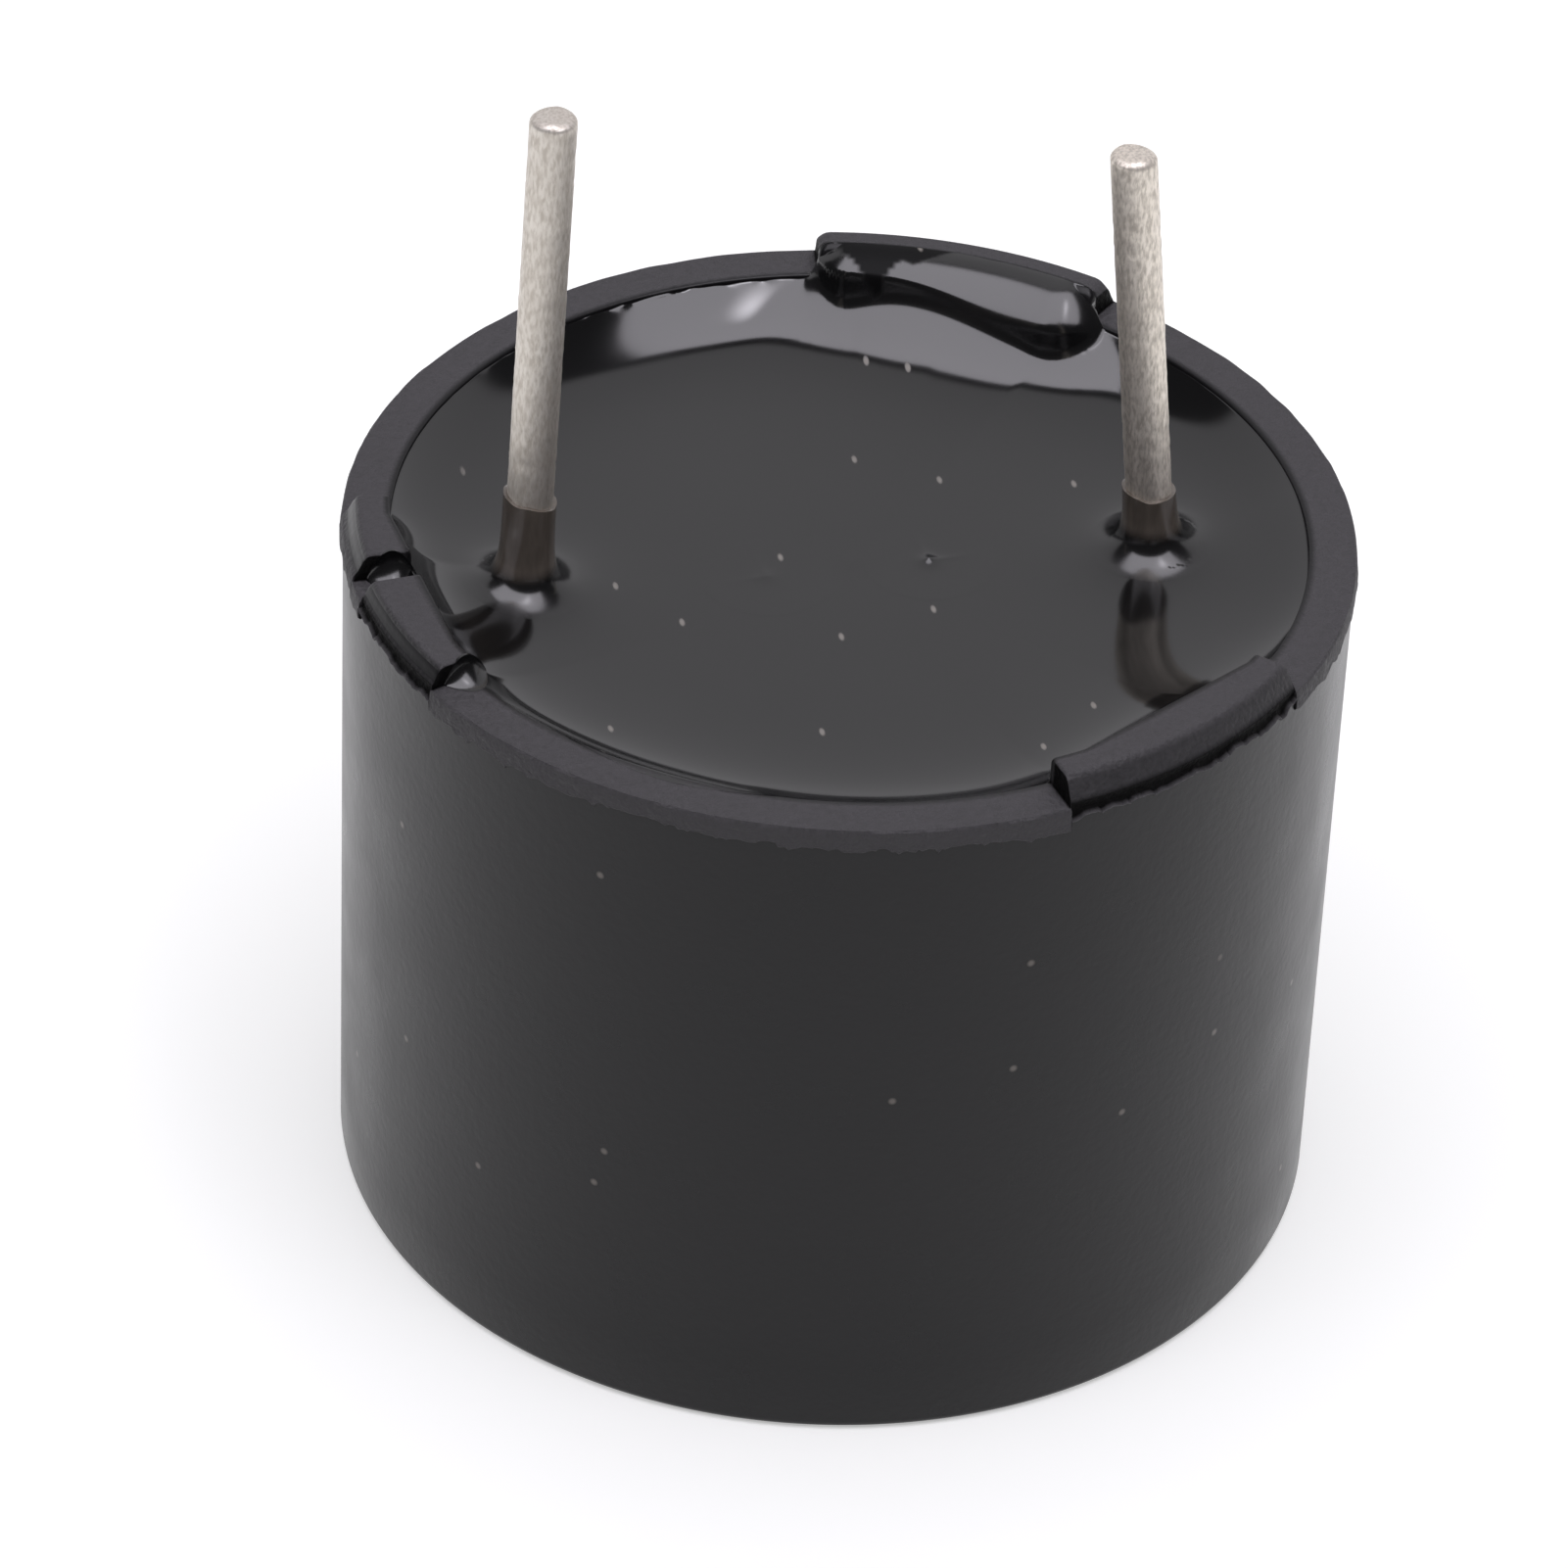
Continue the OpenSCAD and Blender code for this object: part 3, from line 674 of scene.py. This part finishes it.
def bump_grid(centre, high, width, ridge_high, ridges):
    """A pointed bump with two ridges that run from it, on rings about its top, sunk at its outer edge."""
    turn = np.linspace(0, 360, 96, endpoint=False)
    rings = np.linspace(bump_r, bump_tip, 48) ** 1.5 / bump_r ** 0.5
    reach = np.concatenate([[bump_r], rings])[:, None]
    x, y = reach * np.cos(np.radians(turn)), reach * np.sin(np.radians(turn))
    up = high * np.exp(-(reach / width) ** 1.3) + 0 * turn
    for ridge in ridges:
        cosine, sine = math.cos(math.radians(ridge)), math.sin(math.radians(ridge))
        along, beside = x * cosine + y * sine, y * cosine - x * sine
        length = smooth_step(along / ridge_start) * smooth_step(1 - along / ridge_l)
        up = up + ridge_high * np.exp(-(beside / ridge_w) ** 2) * length
    up[0] = bump_low
    x, y = centre[0] + x, centre[1] + y
    ground = resin_surface(np.hypot(x, y), np.degrees(np.arctan2(y, x)))
    faded = up * smooth_step((bump_r - reach) / bump_fade + (up < 0))
    return np.stack([x, y, ground + faded + bump_lift], axis=-1)


bump_shells = [closed_tube(bump_grid(*bump)) for bump in bumps]
print("resin shells besides the body:", len(coat_shells + corner_shells + bump_shells))

# %% [markdown]
# ### Shares for the finish
# The resin is brown where it is a thin coat, dull where it dried on the lug, and a little less sharp a
# mirror on its steep places. Painting those by hand would need a texture, but here they follow from the
# same distances as the shape, so each is one number per point, stored on the mesh.

# %% Shares of the resin
# Height over the level resin from which a coat gets thin, and the height over which it does
thin_start, thin_blend = 0.35, 0.2
# Dried strip along the film's edge, and a wider patch of it: width, angle, blend or half width
strip_w, strip_turn, strip_blend = 0.3, 66, 6
patch_w, patch_turn, patch_half = 0.35, 77.3, 4
dry_rag, dry_blend = 0.15, 0.06
# The softer mirror on the film: its share, how far it reaches from the film's edge, and its blend
soft_share, soft_reach, soft_blend = 0.75, 1.2, 0.5

shells = [resin_body] + coat_shells + corner_shells + bump_shells
body_count = len(resin_body[0])
point_count = sum(len(points) for points, _, _ in shells)
coat_z = np.concatenate([points[:, 2] for points, _, _ in coat_shells])
top_first = len(under_rows) * len(resin_turns)
top_points = slice(top_first, top_first + top_r.size)
film_gap = film_away(top_r, resin_turns)

thin = np.zeros(point_count)
thin[body_count:body_count + len(coat_z)] = smooth_step((coat_z - resin_z - thin_start) / thin_blend)

dry_reach = strip_w * smooth_step((resin_turns - strip_turn) / strip_blend)
dry_reach = dry_reach + patch_w * bell(resin_turns, patch_turn, patch_half)
dry_reach = dry_reach * (1 + dry_rag * ring_noise(resin_turns, 260, 17))
dry_reach = dry_reach * (lug_depth(resin_turns, back_lug) > 0)
dry = np.zeros(point_count)
dry[top_points] = smooth_step((dry_reach - film_gap) / dry_blend).ravel()

steep = np.zeros(point_count)
steep[body_count:] = 1
steep[top_points] = (soft_share * smooth_step((soft_reach - film_gap) / soft_blend)).ravel()

resin = make_piece("resin", shells, sharp=75, marks={"thin": thin, "dried": dry, "steep": steep})
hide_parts("potting_resin")

# %% [markdown]
# ## The leads
# Each lead is a circle carried along a bent line: upright in the resin, then leaning a little towards
# the other lead. A curve object with a bevel would do, but a grid lets the radius change along the way,
# so the cut end can be rounded and the wire can have the shallow dents of handling.

# %% Lead surfaces
# Rounding of the cut end, and the height of the burr on it
tip_r, burr_high = 0.1, 0.02
# The dents: their depth, the degrees of noise per mm of wire, and the bare length above the bend without any
dent_high, dent_pace, dent_free = 0.004, 130, 1


def lead_grid(lead_x, lean, node, seed):
    """Rings along the bent axis of a lead, with a rounded cut at the tip and shallow dents on the way."""
    low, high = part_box(node)
    foot, tip, bend = low.z / MM, high.z / MM, resin_z + bend_lift
    turn = np.linspace(0, 360, 56, endpoint=False)
    cut = np.radians(np.linspace(0, 90, 8))[1:]
    buried, bare = np.linspace(foot, bend, 6), np.linspace(bend, tip - tip_r, 110)[1:]
    heights = np.concatenate([buried, bare, tip - tip_r + tip_r * np.sin(cut)])[:, None]
    radii = np.full_like(heights, lead_r)
    radii[-len(cut):, 0] = lead_r - tip_r + tip_r * np.cos(cut)
    along = (heights - bend) * dent_pace
    dents = dent_high * ring_noise(along, 40, seed) * np.cos(np.radians(turn * 2 + along))
    r = radii + dents * (heights > bend + dent_free)
    burr = burr_high * smooth_step((heights - tip + tip_r) / tip_r) * np.cos(np.radians(turn - seed * 40))
    axis_x = lead_x + math.tan(math.radians(lean)) * np.maximum(heights - bend, 0)
    x, y = axis_x + r * np.cos(np.radians(turn)), r * np.sin(np.radians(turn))
    return np.stack([x, y, heights - np.abs(burr)], axis=-1)


long_shell = closed_tube(lead_grid(lead_xs[0], lead_leans[0], "positive_lead", 31))
long_lead = make_piece("long_lead", [long_shell], sharp=60)
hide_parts("positive_lead")
short_shell = closed_tube(lead_grid(lead_xs[1], lead_leans[1], "negative_lead", 32))
short_lead = make_piece("short_lead", [short_shell], sharp=60)
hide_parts("negative_lead")

# %% [markdown]
# ## Finishes
# A finish is a small network of nodes. Noise on the object's own coordinates breaks up the colour and
# the gloss, and a bump gives the grain. Coordinates are in metres, so a scale of ten thousand gives
# grains of a tenth of a millimetre.

# %% Helpers for nodes


def new_finish(name):
    """A material, the tree to add nodes to, and its shader."""
    material = bpy.data.materials.new(name)
    material.use_nodes = True
    tree = material.node_tree
    return material, tree, tree.nodes["Principled BSDF"]


def add_node(tree, kind, inputs=None, **settings):
    """One node, with each input set to a value or linked to a socket."""
    made = tree.nodes.new(kind)
    for key, value in settings.items():
        setattr(made, key, value)
    for key, value in (inputs or {}).items():
        if isinstance(value, bpy.types.NodeSocket):
            tree.links.new(value, made.inputs[key])
        else:
            made.inputs[key].default_value = value
    return made


def link(tree, socket, shader, name):
    """Feeds one input of the shader."""
    tree.links.new(socket, shader.inputs[name])


def math_node(tree, operation, a, b):
    """The result of one operation on two numbers."""
    return add_node(tree, "ShaderNodeMath", {0: a, 1: b}, operation=operation).outputs[0]


def times(tree, a, b):
    """The product of two numbers."""
    return math_node(tree, "MULTIPLY", a, b)


def vector_math(tree, operation, inputs, output):
    """One operation on vectors, of which the output named Vector or Value is used."""
    made = add_node(tree, "ShaderNodeVectorMath", dict(enumerate(inputs)), operation=operation)
    return made.outputs[output]


def ranged(tree, value, low, high, to_low, to_high, kind="LINEAR"):
    """A value moved from one range to another, and kept inside it."""
    inputs = {"Value": value, "From Min": low, "From Max": high, "To Min": to_low, "To Max": to_high}
    return add_node(tree, "ShaderNodeMapRange", inputs, interpolation_type=kind).outputs[0]


def mixed(tree, share, a, b, kind="RGBA"):
    """A colour or a number between a and b."""
    first, second, out = (6, 7, 2) if kind == "RGBA" else (2, 3, 0)
    return add_node(tree, "ShaderNodeMix", {0: share, first: a, second: b}, data_type=kind).outputs[out]


def stored(tree, name):
    """A share that is stored on the mesh, one number per point."""
    return add_node(tree, "ShaderNodeAttribute", attribute_name=name).outputs["Fac"]


# %% Helpers for patterns


def object_point(tree, stretch=(1, 1, 1), turn=(0, 0, 0)):
    """Object coordinates, stretched and turned about the part's own origin."""
    place = add_node(tree, "ShaderNodeTexCoord").outputs["Object"]
    inputs = {"Vector": place, "Scale": stretch, "Rotation": turn}
    return add_node(tree, "ShaderNodeMapping", inputs).outputs[0]


def wrapped_point(tree, radius):
    """The wall laid flat: the angle round the axis times a radius, then the height."""
    place = add_node(tree, "ShaderNodeSeparateXYZ", {0: object_point(tree)}).outputs
    around = times(tree, math_node(tree, "ARCTAN2", place["Y"], place["X"]), radius)
    return add_node(tree, "ShaderNodeCombineXYZ", {"X": around, "Y": place["Z"]}).outputs[0]


def noise(tree, point, scale, detail=3.0):
    """Soft noise from 0 to 1 at a number of waves per metre."""
    made = add_node(tree, "ShaderNodeTexNoise", {"Vector": point, "Scale": scale, "Detail": detail})
    return made.outputs[0]


def dust(tree, point, cells, size, kept):
    """1 on small specks: the middles of random flat cells, of which only a share is kept."""
    cell = add_node(tree, "ShaderNodeTexVoronoi", {"Vector": point, "Scale": cells}, voronoi_dimensions="2D")
    shade = add_node(tree, "ShaderNodeSeparateColor", {0: cell.outputs["Color"]}).outputs[0]
    near = ranged(tree, cell.outputs["Distance"], size * 0.4, size, 1, 0)
    return times(tree, near, ranged(tree, shade, 1 - kept - 0.01, 1 - kept, 0, 1))


def bumped(tree, shader, height, depth):
    """Links a bump of that depth in metres to the shader."""
    made = add_node(tree, "ShaderNodeBump", {"Height": height, "Distance": depth, "Strength": 1.0})
    link(tree, made.outputs[0], shader, "Normal")


def paint(piece, material):
    """Puts one material on a piece."""
    piece.data.materials.clear()
    piece.data.materials.append(material)


# %% [markdown]
# ### Black moulded plastic
# The wall of the cup is a dull gloss that blurs what it reflects. The trimmed rim is rougher and a
# little paler. The share named trimmed, stored on the mesh, tells the two apart, and the one named groove
# is a painted shade: it darkens the grooves and the upright ends of the lugs, where shade falls.

# %% Cup finish


def plastic_finish():
    """Black plastic: a fine grain and smudges on the wall, a torn and paler surface where it is trimmed."""
    material, tree, shader = new_finish("case_plastic")
    point = object_point(tree)
    trimmed, groove = stored(tree, "trimmed"), stored(tree, "groove")
    smudge = noise(tree, point, 900, 4)
    grain = noise(tree, point, 9000, 3)
    torn = noise(tree, point, 16000, 5)
    wall = mixed(tree, smudge, (0.006, 0.0058, 0.0064, 1), (0.010, 0.0096, 0.0105, 1))
    rim = mixed(tree, torn, (0.024, 0.0231, 0.0246, 1), (0.074, 0.0707, 0.0752, 1))
    speck = dust(tree, wrapped_point(tree, case_r * MM), 620, 0.035, 0.35)
    # Painted shade: the groove share turns the colour near black in the grooves and on the lugs' upright ends
    clean = mixed(tree, groove, mixed(tree, trimmed, wall, rim), (0.003, 0.0029, 0.0029, 1))
    link(tree, mixed(tree, speck, clean, (0.16, 0.145, 0.13, 1)), shader, "Base Color")
    gloss = ranged(tree, smudge, 0.3, 0.7, 0.26, 0.34)
    dull = ranged(tree, torn, 0.3, 0.7, 0.5, 0.75)
    link(tree, mixed(tree, trimmed, gloss, dull, "FLOAT"), shader, "Roughness")
    shine = mixed(tree, trimmed, 0.3, 0.4, "FLOAT")
    shader.inputs["Specular IOR Level"].default_value = 0.3
    # Painted shade: the same share also takes most of the reflection away there
    link(tree, mixed(tree, groove, shine, 0.08, "FLOAT"), shader, "Specular IOR Level")
    bumped(tree, shader, mixed(tree, trimmed, times(tree, grain, 0.12), torn, "FLOAT"), 0.00003)
    return material


paint(cup, plastic_finish())

# %% [markdown]
# ### Black resin
# Set resin is a black mirror with hardly any colour of its own. Where it is only a thin coat, as on the
# leads, the metal behind it warms it to brown. A few specks of dust sit where it is nearly level.

# %% Resin finish


def resin_finish():
    """Black gloss: brown where it is thin, dull where it dried on a lug, slow waves, and specks of dust."""
    material, tree, shader = new_finish("resin")
    point = object_point(tree)
    thin_share, dried, steep_share = stored(tree, "thin"), stored(tree, "dried"), stored(tree, "steep")
    cloud = noise(tree, point, 500, 3)
    streak = noise(tree, object_point(tree, (1, 1, 0.2)), 9000, 3)
    deep = mixed(tree, cloud, (0.003, 0.003, 0.0032, 1), (0.005, 0.005, 0.0053, 1))
    coat = mixed(tree, streak, (0.062, 0.052, 0.042, 1), (0.17, 0.145, 0.12, 1))
    normal = add_node(tree, "ShaderNodeTexCoord").outputs["Normal"]
    upward = add_node(tree, "ShaderNodeSeparateXYZ", {0: normal}).outputs["Z"]
    fallen = dust(tree, object_point(tree, (1, 0.42, 1), (0, 0, math.radians(-28))), 1000, 0.04, 0.6)
    speck = times(tree, fallen, ranged(tree, upward, 0.9, 0.96, 0, 1))
    clean = mixed(tree, thin_share, deep, coat)
    link(tree, mixed(tree, speck, clean, (0.2, 0.185, 0.165, 1)), shader, "Base Color")
    sheen = mixed(tree, speck, ranged(tree, cloud, 0.3, 0.7, 0.08, 0.12), 0.6, "FLOAT")
    worn = mixed(tree, dried, mixed(tree, steep_share, sheen, 0.2, "FLOAT"), 0.5, "FLOAT")
    link(tree, mixed(tree, thin_share, worn, 0.2, "FLOAT"), shader, "Roughness")
    shader.inputs["Specular IOR Level"].default_value = 1.0
    link(tree, mixed(tree, dried, 1.0, 0.12, "FLOAT"), shader, "Specular IOR Level")
    bumped(tree, shader, noise(tree, point, 350, 2), 0.000004)
    return material


paint(resin, resin_finish())

# %% [markdown]
# ### Tinned wire
# The leads are copper wire with a dull coat of tin. Handling leaves fine scratches that run slantwise
# round the wire, so the noise is stretched along a slanted direction. One lead is a little paler than
# the other, so the finish is a function of its two shades.

# %% Lead finish


def wire_finish(name, dark, pale):
    """Dull tin: warm grey patches, slanted scratches, and a roughness that varies with both."""
    material, tree, shader = new_finish(name)
    patch = noise(tree, object_point(tree), 1800, 3)
    scratch = noise(tree, object_point(tree, (1, 1, 0.3), (0, math.radians(35), 0)), 26000, 3)
    tin = mixed(tree, patch, (*dark, 1), (*pale, 1))
    worn = ranged(tree, scratch, 0.35, 0.6, 0, 1)
    link(tree, mixed(tree, worn, (0.6, 0.55, 0.48, 1), tin), shader, "Base Color")
    shader.inputs["Metallic"].default_value = 0.75
    link(tree, ranged(tree, scratch, 0.3, 0.7, 0.52, 0.4), shader, "Roughness")
    bumped(tree, shader, scratch, 0.000008)
    return material


paint(long_lead, wire_finish("tinned_wire", (0.68, 0.63, 0.56), (0.86, 0.82, 0.75)))
paint(short_lead, wire_finish("tinned_wire_paler", (0.84, 0.77, 0.67), (0.97, 0.91, 0.82)))

# %% [markdown]
# ### The pieces inside
# The piezo element shows through the sound hole, and the rest is under the resin. Each kind of piece
# gets its own finish all the same, because the model may be opened later. They differ only in colour,
# metal, roughness and grain, so one function makes them all.

# %% Finishes inside


def inner_finish(name, dark, pale, metal, dull, grain, depth):
    """Two shades mixed by noise of a given grain, with roughness and a bump from the same noise."""
    material, tree, shader = new_finish(name)
    cloud = noise(tree, object_point(tree), grain, 4)
    link(tree, mixed(tree, cloud, (*dark, 1), (*pale, 1)), shader, "Base Color")
    shader.inputs["Metallic"].default_value = metal
    link(tree, ranged(tree, cloud, 0.3, 0.7, dull - 0.08, dull + 0.08), shader, "Roughness")
    bumped(tree, shader, cloud, depth)
    return material


# Each look: dark shade, pale shade, metal, roughness, waves per metre of the grain, depth of the grain
inner_looks = {
    "board_laminate": ((0.30, 0.19, 0.07), (0.45, 0.31, 0.13), 0, 0.55, 7000, 6e-6),
    "copper": ((0.50, 0.24, 0.12), (0.72, 0.38, 0.2), 1, 0.35, 9000, 3e-6),
    "solder": ((0.42, 0.42, 0.41), (0.62, 0.62, 0.6), 1, 0.28, 5000, 5e-6),
    "part_moulding": ((0.012, 0.012, 0.013), (0.03, 0.03, 0.032), 0, 0.5, 12000, 4e-6),
    "part_metal": ((0.5, 0.5, 0.48), (0.66, 0.66, 0.64), 1, 0.3, 8000, 3e-6),
    "ferrite": ((0.025, 0.023, 0.021), (0.06, 0.055, 0.05), 0, 0.65, 15000, 6e-6),
    "resistor_ceramic": ((0.012, 0.013, 0.016), (0.03, 0.031, 0.036), 0, 0.3, 12000, 3e-6),
    "plate_brass": ((0.55, 0.37, 0.1), (0.74, 0.53, 0.2), 1, 0.32, 6000, 3e-6),
    "piezo_ceramic": ((0.62, 0.55, 0.42), (0.76, 0.7, 0.57), 0, 0.6, 14000, 5e-6),
    "silver": ((0.6, 0.6, 0.58), (0.78, 0.78, 0.76), 1, 0.4, 11000, 4e-6),
    "adhesive": ((0.66, 0.63, 0.56), (0.8, 0.77, 0.7), 0, 0.35, 3000, 8e-6),
    "wire_red": ((0.36, 0.02, 0.015), (0.5, 0.04, 0.03), 0, 0.4, 6000, 3e-6),
    "wire_blue": ((0.02, 0.06, 0.3), (0.04, 0.1, 0.42), 0, 0.4, 6000, 3e-6),
    "wire_black": ((0.012, 0.012, 0.012), (0.03, 0.03, 0.03), 0, 0.4, 6000, 3e-6),
}
inner_nodes = {
    "board_laminate": ["circuit_board"], "copper": ["copper_pads"],
    "solder": ["lead_solder", "element_solder", "board_solder"],
    "part_moulding": ["transistor_body"], "ferrite": ["choke_body"],
    "part_metal": ["transistor_legs", "choke_caps", "bias_resistor_caps", "feedback_resistor_caps"],
    "resistor_ceramic": ["bias_resistor_body", "feedback_resistor_body"],
    "plate_brass": ["piezo_plate"], "piezo_ceramic": ["piezo_ceramic"],
    "silver": ["drive_electrode", "feedback_electrode"], "adhesive": ["plate_adhesive"],
    "wire_red": ["drive_wire"], "wire_blue": ["feedback_wire"], "wire_black": ["plate_wire"],
}
for slot_name, node_names in inner_nodes.items():
    finish = inner_finish(slot_name, *inner_looks[slot_name])
    for node_name in node_names:
        paint(frame["nodes"][node_name], finish)
print("inner pieces finished:", sum(len(names) for names in inner_nodes.values()))

# %% [markdown]
# ## Floor, light and surroundings
# A black gloss shows what is round it, so the surroundings are most of its look. The part stands on a
# flat white floor, under a large sloping lamp with a brighter middle. The far side of the room is pale
# up to well above the part, and the rest is dark. The floor is lit like any surface, and gives the camera
# and reflections a little extra so that it is white.

# %% Floor
floor_half = 1.5
# The floor lies a hair under the part, so that two faces never share a plane
floor_z = -0.02 * MM
floor_glow = 0.45
floor_corners = [(x * floor_half, y * floor_half, floor_z) for x, y in ((-1, -1), (1, -1), (1, 1), (-1, 1))]
floor_mesh = bpy.data.meshes.new("floor")
floor_mesh.from_pydata(floor_corners, [], [(0, 1, 2, 3)])
floor = bpy.data.objects.new("floor", floor_mesh)
scene.collection.objects.link(floor)


def seen_directly(tree):
    """1 for rays from the camera and for reflected or refracted ones, 0 for light that is only scattered."""
    path = add_node(tree, "ShaderNodeLightPath").outputs
    either = math_node(tree, "MAXIMUM", path["Is Camera Ray"], path["Is Glossy Ray"])
    return math_node(tree, "MAXIMUM", either, path["Is Transmission Ray"])


floor_material, floor_tree, floor_shader = new_finish("floor")
floor_cloud = noise(floor_tree, object_point(floor_tree), 40, 2)
floor_white = mixed(floor_tree, floor_cloud, (0.64, 0.65, 0.63, 1), (0.66, 0.67, 0.65, 1))
link(floor_tree, floor_white, floor_shader, "Base Color")
floor_shader.inputs["Roughness"].default_value = 0.9
floor_shader.inputs["Emission Color"].default_value = (1, 1, 1, 1)
link(floor_tree, times(floor_tree, seen_directly(floor_tree), floor_glow), floor_shader, "Emission Strength")
paint(floor, floor_material)

# %% Lamp
view_turn = turned(view_azimuth, "Z")
lamp_near, lamp_far = Vector((0, -0.121, 0.162)), Vector((0, 0.285, 0.655))
lamp_half_width = 0.193
lamp_tint = (1.0, 0.97, 1.05)
across, along = Vector((1, 0, 0)), (lamp_far - lamp_near).normalized()
lamp_axes = Matrix((across, along, across.cross(along))).transposed().to_4x4()

light = bpy.data.lights.new("canopy", "AREA")
light.shape = "RECTANGLE"
light.size, light.size_y = 2 * lamp_half_width, (lamp_far - lamp_near).length
# The energy follows the area, so that a lamp of another size is as bright
light.energy = math.pi * light.size * light.size_y
light.color = lamp_tint
canopy = bpy.data.objects.new("canopy", light)
canopy.matrix_world = view_turn @ Matrix.Translation((lamp_near + lamp_far) / 2) @ lamp_axes
scene.collection.objects.link(canopy)
print("lamp:", [round(x, 3) for x in canopy.location], "size", round(light.size, 3), round(light.size_y, 3))

# %% Brighter middle of the lamp
lamp_level, core_level = 2.4, 5.0
core_place, core_size = view_turn @ Vector((0.062, -0.03, 0.27)), (0.024, 0.17)

light.use_nodes = True
light_tree = light.node_tree
light_point = add_node(light_tree, "ShaderNodeNewGeometry").outputs["Position"]
from_core = vector_math(light_tree, "SUBTRACT", (light_point, core_place), "Vector")
core_axes = [(view_turn @ axis) / size for axis, size in zip((across, along), core_size)]
core_sides = [vector_math(light_tree, "DOT_PRODUCT", (from_core, axis), "Value") for axis in core_axes]
core_flat = add_node(light_tree, "ShaderNodeCombineXYZ", {"X": core_sides[0], "Y": core_sides[1]}).outputs[0]
core_away = vector_math(light_tree, "LENGTH", (core_flat,), "Value")
lamp_glow = ranged(light_tree, core_away, 0, 1, lamp_level + core_level, lamp_level, "SMOOTHSTEP")
light_tree.links.new(lamp_glow, light_tree.nodes["Emission"].inputs["Strength"])

# %% Surroundings
far_level, room_level = 0.56, 0.05
far_side = (view_turn @ Vector((0, 1, -0.5))).normalized()
far_blend = 0.05

world = bpy.data.worlds.new("surroundings")
scene.world = world
world.use_nodes = True
world_tree = world.node_tree
world_point = add_node(world_tree, "ShaderNodeTexCoord").outputs["Generated"]
towards_far = vector_math(world_tree, "DOT_PRODUCT", (world_point, far_side), "Value")
glow = ranged(world_tree, towards_far, 0, far_blend, room_level, far_level)
camera_ray = add_node(world_tree, "ShaderNodeLightPath").outputs["Is Camera Ray"]
background = world_tree.nodes["Background"]
background.inputs["Color"].default_value = (1.0, 0.985, 1.02, 1)
link(world_tree, mixed(world_tree, camera_ray, glow, 1.0, "FLOAT"), background, "Strength")
